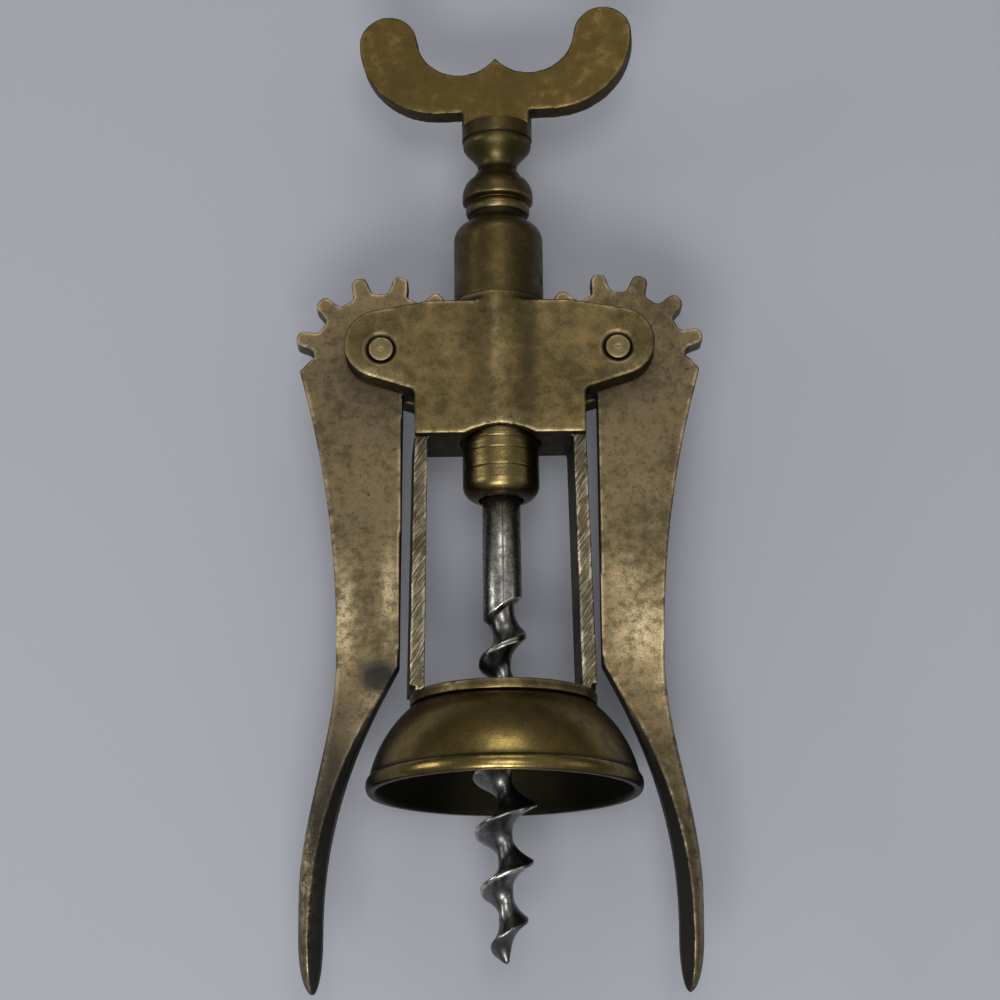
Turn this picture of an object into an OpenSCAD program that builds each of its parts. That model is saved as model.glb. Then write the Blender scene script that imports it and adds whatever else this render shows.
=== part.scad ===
// Wing corkscrew in cast and turned brass with a steel auger worm.
// Each piece is drawn upright: the worm's axis is Z, the levers swing in the XZ plane, front is -Y
// and Z = 0 is the level of the lever tips. The whole is then laid on its back: the handle points
// to +Y, the front faces up, and the bell's rim rests on Z = 0. All lengths are in millimetres.

/* [Levers] */
// Height of the lever pivots above the lever tips
pivot_z = 98.8; // [90:0.2:115]
// Distance of each lever pivot from the worm's axis
pivot_x = 18.5; // [18.3:0.1:19]
// Thickness of the lever plate and its gear
lever_t = 3.7; // [2.4:0.1:4.6]
// Radius over the tips of the gear teeth
gear_tip_r = 14; // [13.8:0.05:14.2]
// Radius at the roots of the gear teeth
gear_root_r = 10.7; // [9.5:0.1:11]
// Angle from one gear tooth to the next
tooth_step = 29.1; // [28:0.1:30]
// Teeth that are cut on each lever
teeth_cut = 7; // [4:1:7]
// Angle of the lowest tooth above the line to the rack
tooth_phase = -10.1; // [-12:0.1:-6]
// Width of a tooth at its rounded tip
tooth_tip_w = 2.6; // [1.8:0.1:2.8]
// Width of a tooth at its root
tooth_root_w = 3; // [2.7:0.1:3.4]
// Reach of the lever's shoulder outboard of the pivot
shoulder_out = 13; // [11:0.25:14]
// Drop of the shoulder below the pivot
shoulder_drop = 1.9; // [1:0.1:4]
// Reach of the arm's inner edge inboard of the pivot, at the gear
arm_in_top = 3.3; // [1.5:0.1:3.6]
// Reach of the arm's inner edge inboard of the pivot, at the waist
arm_in_waist = 2.6; // [1:0.1:3.4]
// Reach of the arm's outer edge outboard of the pivot, at the waist
arm_out_waist = 7; // [5:0.25:9]
// Height of the waist above the tips, where the inner edge turns outwards
waist_z = 49; // [42:0.5:58]
// Reach of the grip's outer face outboard of the pivot
grip_out = 12.4; // [10:0.2:16]
// Thickness of the grip from its outer to its inner face
grip_t = 3.6; // [2.6:0.1:6]
// Width of the grip across the swing plane
grip_w = 9.2; // [5:0.2:14]
// Height of the rounded end of the grip
grip_end_h = 8; // [5:0.5:12]
// Radius of the pivot pins
pin_r = 1.75; // [1.2:0.05:2.2]
// Angle by which the right-hand lever hangs closer in, taken up by the play of its teeth
lever_hang = 1; // [0:0.1:1]

/* [Housing] */
// Depth of the housing from its front to its back cheek face
body_depth = 13; // [12.6:0.1:15]
// Width of the housing between the struts' outer faces
body_w = 26.6; // [25:0.2:28]
// Underside of the housing below the pivots
body_below = 13.9; // [13.6:0.1:18]
// Top of the housing above the pivots
body_above = 8; // [7:0.1:10]
// How far the barrel swells beyond the cheek faces
swell_h = 0.6; // [0.2:0.1:2]
// Half width of the barrel's swell
swell_w = 6; // [3:0.5:9]
// Radius of the ears round the pivots
ear_r = 5.6; // [4.6:0.1:6.5]
// Height of an ear's centre above its pivot
ear_rise = 0.9; // [0:0.1:1.5]
// Slope of an ear's lower edge
ear_slope = 18; // [10:1:26]
// Slope of an ear's upper edge
ear_top_slope = 10; // [6:1:14]
// Radius of the inner corner under an ear
ear_fillet = 1; // [0.5:0.1:1.6]
// Width across the arch in the housing's lower edge
arch_w = 11; // [6:0.5:11]
// Height of the arch in the housing's lower edge
arch_h = 1.3; // [0.4:0.1:1.3]
// Depth of the counterbore that takes the rack's skirt
counter_h = 1.4; // [1.1:0.1:2]
// Mouth radius of the countersink round each pivot pin
sink_r = 2.5; // [2.3:0.05:3]

/* [Neck] */
// Outer radius of the boss and of the neck sleeve
neck_r = 7.1; // [7:0.05:7.3]
// Height of the boss under the sleeve's joint
boss_h = 1.6; // [1:0.1:3]
// Length of the neck sleeve
sleeve_h = 12.7; // [12.2:0.1:13.4]
// Height of the spigot that the sleeve fits over
spigot_h = 5; // [3:0.5:7]
// Wall of the spigot
spigot_wall = 0.6; // [0.45:0.05:0.7]
// Radius of the sleeve's rounded shoulder
shoulder_r = 3; // [2:0.1:3.5]
// Radius of the small pin that locks the sleeve
neck_pin_r = 0.65; // [0.4:0.05:0.9]
// Height of that pin above the boss
neck_pin_z = 3; // [1.5:0.1:3.2]
// Turn of that pin in front of the right-hand side
neck_pin_turn = 19; // [0:1:45]

/* [Struts] */
// Length of the struts between the housing and the bell plate
strut_h = 40.3; // [34:0.5:48]
// Width of a strut at the housing
strut_w_top = 2; // [1.6:0.1:2.4]
// Width of a strut at the bell plate
strut_w_foot = 2.3; // [1.8:0.1:3]
// How far a strut's outer face leans out on its way down
strut_lean = 0.9; // [0:0.1:1]
// Depth of a strut from front to back
strut_depth = 10.7; // [8:0.1:11.5]
// Turn of both struts about their front edges, which shows their left-hand faces
strut_turn = 4.5; // [0:0.5:5]
// Radius of the fillet where a strut meets the housing
strut_fillet = 0.9; // [0.4:0.1:1.5]
// Height of the strut's foot, turned to the bell plate's radius
foot_h = 0.8; // [0.6:0.1:3]
// Thickness of a strut's tenon
tenon_t = 1.1; // [0.8:0.1:1.4]
// Width of a strut's tenon
tenon_w = 6; // [3:0.5:8]
// Depth of a tenon below the bell plate
tenon_h = 1.6; // [1:0.1:2]

/* [Bell] */
// How far the bell plate stands out beyond the struts' feet
plate_out = 0.1; // [0.05:0.05:0.6]
// Thickness of the bell plate
plate_t = 1.6; // [1.2:0.1:2.4]
// Height of the groove under the bell plate
seam_h = 0.35; // [0.2:0.05:0.6]
// Depth of the groove under the bell plate
seam_d = 0.6; // [0.3:0.1:1]
// Height of the bell
bell_h = 13.3; // [12.5:0.1:16]
// Outer radius of the dome at the rim's neck
dome_r = 20.5; // [20:0.1:23]
// Radius of the arc that forms the dome's side
dome_arc_r = 19.2; // [18.4:0.1:24]
// Wall of the dome
bell_wall = 1.25; // [0.9:0.05:2]
// How far the rim's bead stands out beyond the dome
bead_out = 0.55; // [0.3:0.05:1.5]
// Height of the rim's bead
bead_h = 2.3; // [1.6:0.1:3]
// Radius of the hole that the worm passes through
worm_hole_r = 6.5; // [6.2:0.1:8]
// Inner radius of the seat for a bottle's lip
lip_in_r = 11; // [9:0.25:12]
// Depth of that seat below the bell's top
lip_drop = 4.5; // [4:0.1:6]
// Depth of the recess inside the seat, above it
lip_recess = 2; // [1:0.1:2.4]

/* [Rack] */
// Radius of the rack over its rings
rack_r = 5.78; // [5.6:0.02:5.9]
// Radius of the rack at the bottom of its grooves
groove_r = 3.85; // [3.7:0.05:3.95]
// Pitch radius at which the gears roll on the rack
pitch_r = 13.2; // [13.1:0.05:13.3]
// Width of a ring at its crest
ring_w = 3; // [2:0.1:3.1]
// Width of a ring at its foot
ring_foot_w = 3.4; // [3.1:0.1:3.6]
// Radius of the rack's smooth lower end
skirt_r = 5.98; // [5.9:0.02:6.1]
// Length of the rack's smooth lower end above the end cap
skirt_h = 6.1; // [5.5:0.1:8]
// Depth of the rack's top below the sleeve's top
rack_sink = 1.4; // [1.2:0.1:2]
// Length of the end cap that shows below the skirt
cap_h = 4.4; // [3.2:0.1:6]
// Radius of the end cap's rounded lower edge
cap_round = 2.4; // [1.6:0.1:2.6]
// Radius of the hole in the end cap
cap_hole_r = 3.55; // [3.4:0.05:4]
// Radius of the cavity in the rack's lower end
cavity_r = 4.6; // [4.4:0.05:4.8]
// Least width of the rack's plain land next to its end grooves
end_land = 0.8; // [0.5:0.1:1.2]
// Depth of that cavity above the joint line
cavity_h = 4.4; // [3.8:0.1:5]
// Height of the end cap's spigot in the cavity
cap_spigot_h = 2.6; // [1.5:0.1:2.8]
// Outer radius of the steel retaining ring
keeper_r = 4.2; // [3.8:0.05:4.3]
// Thickness of the retaining ring
keeper_t = 1; // [0.6:0.1:1.2]

/* [Screw] */
// Radius of the worm's shank
shank_r = 3; // [2.8:0.02:3.04]
// Length of plain shank that shows below the end cap
shank_show = 17.3; // [10:0.1:20]
// Slope of the shank's lower end, higher on the right-hand side
shank_slant = 32; // [0:1:40]
// Length of the worm below the plain shank
worm_l = 54.2; // [44:0.2:58]
// Pitch of the worm, right-handed
worm_pitch = 8.7; // [7:0.1:11]
// Drop from the shank's end to the flange's first crest on the right-hand side
crest_drop = 4.2; // [3:0.1:6]
// Radius over the worm's widest turn
worm_r = 4.9; // [4:0.1:5.6]
// Radius of the worm's core
worm_core_r = 1.15; // [0.9:0.05:1.4]
// Thickness of the worm's flange at its edge
flange_t = 0.5; // [0.3:0.05:1]
// Depth of the shank's socket in the stem
socket_h = 8.6; // [6:0.1:8.6]
// Radius of the spindle pin
spindle_pin_r = 0.8; // [0.5:0.05:1]

/* [Stem and handle] */
// Radius of the stem's ring
ring_r = 5.68; // [5.3:0.02:5.7]
// Radius of the stem's collar
collar_r = 5.65; // [5.2:0.05:5.7]
// Radius of the stem's neck between ring and vase
stem_neck_r = 3.1; // [2.6:0.1:4]
// Height of the pinch above the sleeve
pinch_h = 1.6; // [0.8:0.1:2]
// Height of the stem's bead above the pinch
stem_bead_h = 1.4; // [1.2:0.1:2.4]
// Height of the ring's lower edge above the bead's middle
ring_gap_h = 1.3; // [1.2:0.1:2]
// Height from the ring's lower edge to the neck
ring_h = 5.4; // [4.6:0.1:7]
// Depth of the pinch inside the ring's radius
pinch_in = 1.2; // [0.5:0.05:1.2]
// Depth of the bead inside the ring's radius
bead_in = 0.55; // [0.1:0.05:0.6]
// Height of the collar
collar_h = 2.4; // [1.5:0.1:4]
// Height of the vase between neck and collar
vase_h = 5.4; // [4.5:0.1:8]
// Height of the handle's foot between the collar and the blade
handle_foot_h = 2.5; // [1:0.1:4]
// Thickness of the handle's blade
blade_t = 3.8; // [2.6:0.1:5]
// Height of the lobes' centres above the blade's lower edge
blade_h = 13; // [11:0.1:16]
// Distance of a lobe's centre from the middle
lobe_x = 17.6; // [15:0.1:21]
// Radius of a lobe
lobe_r = 4.7; // [3.8:0.1:5.2]
// Radius of the scoop beside the middle peak
scoop_r = 7.2; // [6.4:0.1:7.4]
// Distance of a scoop's centre from the middle
scoop_x = 5.7; // [5.2:0.1:6]
// Height of the scoops' centres above the lobes' centres
scoop_rise = 0.86; // [0.5:0.02:1.6]
// Radius of the tang under the blade
tang_r = 2.2; // [1.6:0.1:2.6]
// Length of that tang
tang_h = 5.2; // [3:0.1:6]
// Turn of the handle from the swing plane
handle_turn = -5; // [-90:5:90]

/* [Clearances] */
// Radial clearance of a turning or sliding fit
run_gap = 0.06; // [0.03:0.01:0.08]
// Gap of a fixed joint between two pieces
fixed_gap = 0.02; // [0.01:0.01:0.04]
// Gap at each side of a lever in its slot
side_gap = 0.2; // [0.1:0.05:0.3]
// Gap between the gear tips and the chamber that they turn in
tip_gap = 0.35; // [0.25:0.05:0.5]
// End play of the screw in the rack
end_play = 0.2; // [0.1:0.05:0.3]
// Gap round the rack's skirt in its counterbore
skirt_gap = 0.32; // [0.3:0.02:0.4]

/* [Hidden] */
$fn = 96;

// Overshoot of cuts that pass through a face
over = 0.5;
// Overlap of shapes that are joined into one piece
lap = 1;
// Gap between the rack's skirt and its stop in the housing
stop_gap = 0.1;
// Flat land round the sleeve's bore
sleeve_land = 0.2;
// How far the neck pin's outer end lies under the surface
neck_pin_sink = 0.15;
// Clearance at the blind end of a pin, a spigot or the shank
end_gap = 0.1;
// How far a tenon's middle lies inboard of its strut's middle
tenon_in = 0.2;
// Step in from the bell plate's edge to the dome's
seam_step = 0.1;
// Height of the bell's mouth edge above the rim
mouth_h = 0.5;
// Depth of the retaining ring's groove in the shank
keeper_groove = 0.3;
// How far the spindle pin's ends lie under the bead's surface
spindle_pin_sink = 0.4;

// Radius at the foot of a gear tooth's flank
tooth_foot = 0.9;
// How far the foot of a tooth is sunk in the gear's hub
tooth_sink = 0.12;
// Angle below the line to the rack up to which the gear's hub is cut off level with the arm
hub_start = 34;
// Height over which the lever's arm narrows above the waist's level
waist_rise = 4;
// Height of the sweep from the waist out to the grip
grip_sweep = 36;
// Height over which the grip's inner face runs out
grip_run = 40;
// Height of the plate's lower end above the waist
plate_over = 1.5;
// Height from the waist to the full paddle
paddle_run = 34;
// Height over which the ridge crosses the grip
ridge_run = 40;
// Rounding of the lever's shoulder
shoulder_round = 0.9;
// Least share of its size to which the grip's end rounds off
grip_end_share = 0.12;

// Height of the flange's lower end above the tip
flange_start = 0.6;
// Share of the worm's length over which the flange grows to its widest
flange_wide = 0.44;
// How far the flange stands proud of the shank at its upper end
flange_proud = 0.5;
// Half thickness of the flange's foot, at the point and at the shank
flange_foot = [1.0, 2.1];
// Length of the worm's point
point_h = 5;
// Radius of the point's end
point_r = 0.12;
// Height of the cone between the core and the shank
throat_h = 5.4;
// Share of the shank's radius at the top of that cone
throat_share = 0.68;

// Levels along the axis, from the housing down to the bell's rim
body_z0 = pivot_z - body_below;
body_z1 = pivot_z + body_above;
plate_z1 = body_z0 - strut_h;
plate_z0 = plate_z1 - plate_t;
rim_z = plate_z0 - bell_h;
bead_r = dome_r + bead_out;

// Levels from the boss up to the sleeve's top
boss_z1 = body_z1 + boss_h;
spigot_z1 = boss_z1 + spigot_h;
sleeve_z1 = boss_z1 + sleeve_h;

// Levels of the rack, hung by its skirt under the housing's counterbore
rack_bore_r = rack_r + run_gap;
spigot_r = rack_bore_r + spigot_wall;
stop_z = body_z0 + counter_h;
skirt_z1 = stop_z - stop_gap;
joint_z = skirt_z1 - skirt_h;
cap_z0 = joint_z - cap_h;
cavity_z1 = joint_z + cavity_h;
rack_z1 = sleeve_z1 - rack_sink;

// Levels of the screw
shank_z0 = cap_z0 - shank_show;
tip_z = shank_z0 - worm_l;
stem_z0 = rack_z1 + end_play;
socket_z1 = stem_z0 + socket_h;
keeper_z1 = cavity_z1 - end_play;

shank_rise = shank_r * tan(shank_slant) + sleeve_land;

// Levels of the stem's turned forms, and the radius over its bead
stem_bead_r = ring_r - bead_in;
pinch_z = sleeve_z1 + pinch_h;
bead_z = pinch_z + stem_bead_h;
ring_z = bead_z + ring_gap_h;
neck_z = ring_z + ring_h;
collar_z0 = neck_z + vase_h;
seat_z1 = collar_z0 + collar_h;
blade_z0 = seat_z1 + handle_foot_h;
lobe_z = blade_z0 + blade_h;
total_h = lobe_z + lobe_r;

// Lever and housing sizes that follow
slot_w = lever_t + 2 * side_gap;
chamber_r = gear_tip_r + tip_gap;
lever_bore_r = pin_r + run_gap;
ring_step = pitch_r * tooth_step * PI / 180;
ear_x = pivot_x + 0.2;
ear_z = pivot_z + ear_rise;
strut_x = body_w / 2;
plate_r = strut_x + strut_lean + plate_out;

// Colours
BRASS = [0.42, 0.35, 0.18];
BRASS_DARK = [0.33, 0.29, 0.17];
BRASS_GOLD = [0.50, 0.41, 0.17];
BRONZE = [0.42, 0.37, 0.26];
STEEL = [0.36, 0.35, 0.32];

// ---- helpers -------------------------------------------------------------

function mix(a, b, t) = a + (b - a) * t;
function clamp01(t) = min(1, max(0, t));
function ease(t) = let (u = clamp01(t)) u * u * (3 - 2 * u);
function arc(cx, cz, r, a0, a1, n) =
    [for (i = [0 : n]) let (a = mix(a0, a1, i / n)) [cx + r * cos(a), cz + r * sin(a)]];

// A front-view outline given thickness along Y, centred on the swing plane
module along_y(t) {
    rotate([90, 0, 0])
        linear_extrude(height = t, center = true)
            children();
}

// A pin, bore or chamber whose axis lies along Y
module y_cylinder(x, z, r, t) {
    translate([x, 0, z])
        rotate([90, 0, 0])
            cylinder(r = r, h = t, center = true);
}

// Lays the upright object on its back, centred along its length
module laid() {
    translate([0, -total_h / 2, bead_r])
        rotate([-90, 0, 0])
            children();
}

// ---- housing -------------------------------------------------------------

// Right half of the cheek's outline; the ear itself is a true circle
module half_cheek() {
    low = [ear_x + ear_r * sin(ear_slope), ear_z - ear_r * cos(ear_slope)];
    top = [ear_x + ear_r * sin(ear_top_slope), ear_z + ear_r * cos(ear_top_slope)];
    corner_z = low[1] - (low[0] - strut_x) * tan(ear_slope);
    round_x = strut_x + ear_fillet;
    round_z = corner_z + ear_fillet * tan(ear_slope) - ear_fillet / cos(ear_slope);
    ramp_x = top[0] - (body_z1 - top[1]) / tan(ear_top_slope);
    polygon(concat(
        [[0, body_z0], [strut_x, body_z0]],
        arc(round_x, round_z, ear_fillet, 180, 90 + ear_slope, 6),
        [low, [ear_x, ear_z], top, [ramp_x, body_z1], [0, body_z1]]
    ));
    translate([ear_x, ear_z])
        circle(r = ear_r);
}

// Plan of the housing: flat cheeks with a softly swelling barrel
module body_plan() {
    steps = 16;
    reach = ear_x + ear_r + lap;
    half = body_depth / 2;
    bump = [for (i = [0 : steps])
        let (x = mix(-swell_w, swell_w, i / steps))
        [x, half + swell_h * (1 + cos(180 * x / swell_w)) / 2]];
    back = concat([[-reach, half]], bump, [[reach, half]]);
    front = [for (i = [len(back) - 1 : -1 : 0]) [back[i][0], -back[i][1]]];
    polygon(concat(back, front));
}

module pin_hole(side) {
    y_cylinder(side * pivot_x, pivot_z, pin_r + fixed_gap, body_depth + 2 * over);
    for (face = [-1, 1])
        translate([side * pivot_x, face * body_depth / 2, pivot_z])
            rotate([face * 90, 0, 0])
                translate([0, 0, -over / 2])
                    cylinder(r1 = sink_r + over / 2, r2 = pin_r, h = sink_r - pin_r + over);
}

module neck_pin_shape(r, r0, r1) {
    rotate([0, 0, -neck_pin_turn])
        translate([r0, 0, boss_z1 + neck_pin_z])
            rotate([0, 90, 0])
                cylinder(r = r, h = r1 - r0);
}

module housing() {
    arch_r = (arch_w * arch_w / 4 + arch_h * arch_h) / (2 * arch_h);
    through = body_depth + 2 * (swell_h + lap);
    color(BRASS)
    difference() {
        union() {
            intersection() {
                along_y(through)
                    union() {
                        half_cheek();
                        mirror([1, 0])
                            half_cheek();
                    }
                translate([0, 0, body_z0 - lap])
                    linear_extrude(height = body_z1 - body_z0 + 2 * lap)
                        body_plan();
            }
            translate([0, 0, body_z1 - lap])
                cylinder(r = neck_r, h = boss_h + lap);
            translate([0, 0, boss_z1 - lap])
                cylinder(r = spigot_r, h = spigot_h + lap);
        }
        // bore for the rack, and the counterbore that takes its skirt
        translate([0, 0, body_z0 - over])
            cylinder(r = rack_bore_r, h = spigot_z1 - body_z0 + 2 * over);
        translate([0, 0, body_z0 - over])
            cylinder(r = skirt_r + skirt_gap, h = counter_h + over);
        y_cylinder(0, body_z0 + arch_h - arch_r, arch_r, through);
        for (side = [-1, 1]) {
            y_cylinder(side * pivot_x, pivot_z, chamber_r, slot_w);
            pin_hole(side);
        }
        neck_pin_shape(neck_pin_r + fixed_gap, rack_bore_r - over, neck_r + over);
    }
}

// ---- neck ----------------------------------------------------------------

module neck_sleeve() {
    land_r = rack_bore_r + sleeve_land;
    round_x = neck_r - shoulder_r;
    round_z = sleeve_z1 - sqrt(shoulder_r * shoulder_r - (land_r - round_x) * (land_r - round_x));
    end_a = acos((land_r - round_x) / shoulder_r);
    color(BRASS_DARK)
    difference() {
        rotate_extrude()
            polygon(concat(
                [[rack_bore_r, spigot_z1 + fixed_gap], [spigot_r + fixed_gap, spigot_z1 + fixed_gap],
                 [spigot_r + fixed_gap, boss_z1], [neck_r, boss_z1]],
                arc(round_x, round_z, shoulder_r, 0, end_a, 8),
                [[rack_bore_r, sleeve_z1]]
            ));
        neck_pin_shape(neck_pin_r + fixed_gap, spigot_r - spigot_wall, neck_r + over);
    }
}

module neck_pin() {
    color(STEEL)
        neck_pin_shape(neck_pin_r, rack_bore_r + end_gap, neck_r - neck_pin_sink);
}

// ---- struts --------------------------------------------------------------

// A strut's front outline, on the left for side -1 and on the right for side 1
module strut_outline(side) {
    inner_top = strut_x - strut_w_top;
    foot_x = strut_x + strut_lean;
    inner_foot = foot_x - strut_w_foot;
    outline = concat(
        [[strut_x, body_z0], [foot_x, plate_z1], [inner_foot, plate_z1]],
        arc(inner_top - strut_fillet, body_z0 - strut_fillet, strut_fillet, 0, 90, 6)
    );
    polygon([for (p = outline) [side * p[0], p[1]]]);
}

// A strut's tenon in the bell plate, or with a gap the slot for it
module tenon(side, gap) {
    tenon_x = strut_x + strut_lean - strut_w_foot / 2 - tenon_in;
    tenon_top = plate_z1 + foot_h / 2;
    tenon_foot = plate_z0 - tenon_h - gap;
    translate([side * tenon_x - tenon_t / 2 - gap, -tenon_w / 2 - gap, tenon_foot])
        cube([tenon_t + 2 * gap, tenon_w + 2 * gap, tenon_top - tenon_foot]);
}

// The strut's foot is turned to the plate's radius, and it ends in a tenon
module strut(side) {
    front = strut_depth / 2;
    color(BRONZE)
    union() {
        intersection() {
            translate([side * strut_x, -front, 0])
                rotate([0, 0, strut_turn])
                    translate([-side * strut_x, front, 0])
                        along_y(strut_depth)
                            strut_outline(side);
            union() {
                translate([-body_w, -body_depth, plate_z1 + foot_h])
                    cube([2 * body_w, 2 * body_depth, strut_h]);
                translate([0, 0, plate_z1 - lap])
                    cylinder(r = plate_r, h = foot_h + 2 * lap);
            }
        }
        tenon(side, 0);
    }
}

module left_strut() {
    strut(-1);
}

module right_strut() {
    strut(1);
}

// ---- bell ----------------------------------------------------------------

module bell_plate() {
    color(BRASS_DARK)
    difference() {
        translate([0, 0, plate_z0])
            cylinder(r = plate_r, h = plate_t);
        translate([0, 0, plate_z0 - over])
            cylinder(r = worm_hole_r, h = plate_t + 2 * over);
        for (side = [-1, 1])
            tenon(side, fixed_gap);
    }
}

module bell() {
    // the dome's side is one arc that ends at the neck of the rim's bead
    neck_level = rim_z + bead_h;
    top_r = plate_r - seam_step;
    top_z = plate_z0 - seam_h;
    half = sqrt((dome_r - top_r) * (dome_r - top_r) + (top_z - neck_level) * (top_z - neck_level)) / 2;
    chord_a = atan2(neck_level - top_z, dome_r - top_r);
    sagitta_side = sqrt(dome_arc_r * dome_arc_r - half * half);
    mid_x = (dome_r + top_r) / 2;
    mid_z = (top_z + neck_level) / 2;
    cx = mid_x + sagitta_side * sin(chord_a);
    cz = mid_z - sagitta_side * cos(chord_a);
    a_top = atan2(top_z - cz, top_r - cx);
    a_neck = atan2(neck_level - cz, dome_r - cx);
    in_r = dome_arc_r - bell_wall;
    seat_z = plate_z0 - lip_drop;
    a_seat = asin((seat_z - cz) / in_r);
    mouth_r = bead_r - bell_wall - seam_step / 2;
    mouth_z = rim_z + mouth_h;
    a_mouth = asin((mouth_z - cz) / in_r);
    bead_c = rim_z + bead_h / 2;
    bead_half = bead_h / 2;
    bulge = bead_r - dome_r;
    bead_end_a = -72;
    bead = [for (i = [0 : 9]) let (a = mix(90, bead_end_a, i / 9))
        [dome_r + bulge * cos(a), bead_c + bead_half * sin(a)]];
    color(BRASS_GOLD)
    difference() {
        rotate_extrude()
            polygon(concat(
                [[worm_hole_r, plate_z0], [plate_r - seam_d, plate_z0], [plate_r - seam_d, top_z]],
                arc(cx, cz, dome_arc_r, a_top, a_neck, 18),
                bead,
                [[dome_r + bulge * cos(bead_end_a), rim_z], [mouth_r, rim_z]],
                arc(cx, cz, in_r, a_mouth, a_seat, 12),
                [[lip_in_r, seat_z], [lip_in_r, seat_z + lip_recess], [worm_hole_r, seat_z + lip_recess]]
            ));
        for (side = [-1, 1])
            tenon(side, fixed_gap);
    }
}

// ---- pivot pins ----------------------------------------------------------

module left_pivot_pin() {
    color(BRONZE)
        y_cylinder(-pivot_x, pivot_z, pin_r, body_depth);
}

module right_pivot_pin() {
    color(BRONZE)
        y_cylinder(pivot_x, pivot_z, pin_r, body_depth);
}

// ---- levers --------------------------------------------------------------

// One tooth's flank and rounded tip, as [distance along the tooth, offset across it]
function tooth_half(n) =
    let (tip_round = tooth_tip_w / 2 * 0.8,
         flat = tooth_tip_w / 2 - tip_round,
         lean = 0.15 * (tooth_root_w - tooth_tip_w))
    concat(
        [for (i = [0 : n]) let (a = 90 * i / n)
            [gear_root_r + tooth_foot * (1 - cos(a)) - tooth_sink * cos(a),
             tooth_root_w / 2 + tooth_foot * (1 - sin(a)) - lean * sin(a)]],
        [for (i = [0 : n]) let (a = 90 * i / n)
            [gear_tip_r - tip_round + tip_round * sin(a), flat + tip_round * cos(a)]]
    );

// A tooth at an angle above the line from the pivot to the rack
function tooth_at(angle) =
    let (half = tooth_half(4), last = len(half) - 1,
         lower = [for (p = half) [p[0], -p[1]]],
         upper = [for (i = [last : -1 : 0]) half[i]])
    [for (p = concat(lower, upper))
        [pivot_x - p[0] * cos(angle) + p[1] * sin(angle),
         pivot_z + p[0] * sin(angle) + p[1] * cos(angle)]];

function gear_point(r, angle) = [pivot_x - r * cos(angle), pivot_z + r * sin(angle)];

// Edges of the arm by height above the tips
shoulder_z = pivot_z - shoulder_drop;
function outer_x(z) =
    let (waist_end = waist_z + waist_rise,
         up = clamp01((z - waist_end) / (shoulder_z - waist_end)),
         down = ease((waist_z + lap - z) / grip_sweep))
    pivot_x + arm_out_waist + (shoulder_out - arm_out_waist) * up * up
        + (grip_out - arm_out_waist) * down;
function inner_x(z) =
    let (up = clamp01((z - waist_z) / (pivot_z - waist_z)),
         t = clamp01((waist_z - z) / grip_run),
         grip_in = pivot_x + grip_out - grip_t,
         waist_in = pivot_x - arm_in_waist)
    z > waist_z ? mix(waist_in, pivot_x - arm_in_top, up)
        : mix(waist_in, grip_in, 1 - pow(1 - t, 2.1));

plate_end_z = waist_z + plate_over;

module lever_plate() {
    edge_steps = 10;
    first_valley = tooth_phase - tooth_step / 2;
    last_tooth = tooth_phase + (teeth_cut - 1) * tooth_step;
    outer = [for (i = [0 : edge_steps])
        let (z = mix(shoulder_z, plate_end_z, i / edge_steps)) [outer_x(z), z]];
    hub_z = gear_point(gear_root_r, -hub_start)[1];
    inner = [for (i = [0 : 4])
        let (z = mix(plate_end_z, hub_z, i / 4)) [inner_x(z), z]];
    hub = [for (a = [-hub_start : 4 : first_valley]) gear_point(gear_root_r, a)];
    teeth = [for (k = [0 : teeth_cut - 1]) each tooth_at(tooth_phase + k * tooth_step)];
    notch_a = min(178, last_tooth + tooth_step / 2);
    shoulder = [gear_point(gear_root_r, notch_a),
        [pivot_x + gear_root_r + shoulder_round, shoulder_z + 1.7 * shoulder_round],
        [pivot_x + shoulder_out - shoulder_round, shoulder_z + shoulder_round]];
    difference() {
        along_y(lever_t)
            polygon(concat(outer, inner, hub, teeth, shoulder));
        y_cylinder(pivot_x, pivot_z, lever_bore_r, lever_t + 2 * over);
    }
}

// Section of the grip at a height: a plate at the waist, a paddle with a front and a back ridge below
function grip_section(z) =
    let (paddle = ease((waist_z - z) / paddle_run),
         ridge_t = clamp01((waist_z - lap - z) / ridge_run),
         inset = z > plate_end_z - lap ? lap / 20 : 0,
         round_t = clamp01(z / grip_end_h),
         shrink = max(grip_end_share, sqrt(1 - (1 - round_t) * (1 - round_t))),
         xo = outer_x(z) - inset,
         xi = inner_x(z) + inset,
         mid = (xo + xi) / 2 - grip_t / 10 * (1 - shrink),
         half = (xo - xi) / 2 * shrink,
         depth = (mix(lever_t, grip_w, paddle) / 2 - inset) * shrink,
         ridge = mix(-0.96, 0.12, pow(ridge_t, 0.85)))
    [[mid + half, mix(0.90, 0.20, paddle) * depth],
     [mid + half * mix(0.97, 0.66, paddle), mix(1, 0.78, paddle) * depth],
     [mid + half * ridge, depth],
     [mid - half, mix(0.90, 0.35, paddle) * depth]];

module lever_grip() {
    rows = 26;
    levels = [for (i = [0 : rows]) let (t = i / rows)
        (waist_z + waist_rise) * mix(1 - cos(90 * t), t * t, 0.65)];
    rings = [for (z = levels)
        let (s = grip_section(z))
        concat([for (p = s) [p[0], -p[1], z]], [for (i = [3 : -1 : 0]) [s[i][0], s[i][1], z]])];
    n = 8;
    points = [for (r = rings) each r];
    sides = [for (k = [0 : rows - 1]) for (j = [0 : n - 1])
        let (a = k * n + j, b = k * n + (j + 1) % n) each [[a, b, a + n], [b, b + n, a + n]]];
    bottom = [for (j = [n - 1 : -1 : 0]) j];
    top = [for (j = [0 : n - 1]) rows * n + j];
    polyhedron(points = points, faces = concat(sides, [bottom], [top]), convexity = 4);
}

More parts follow.
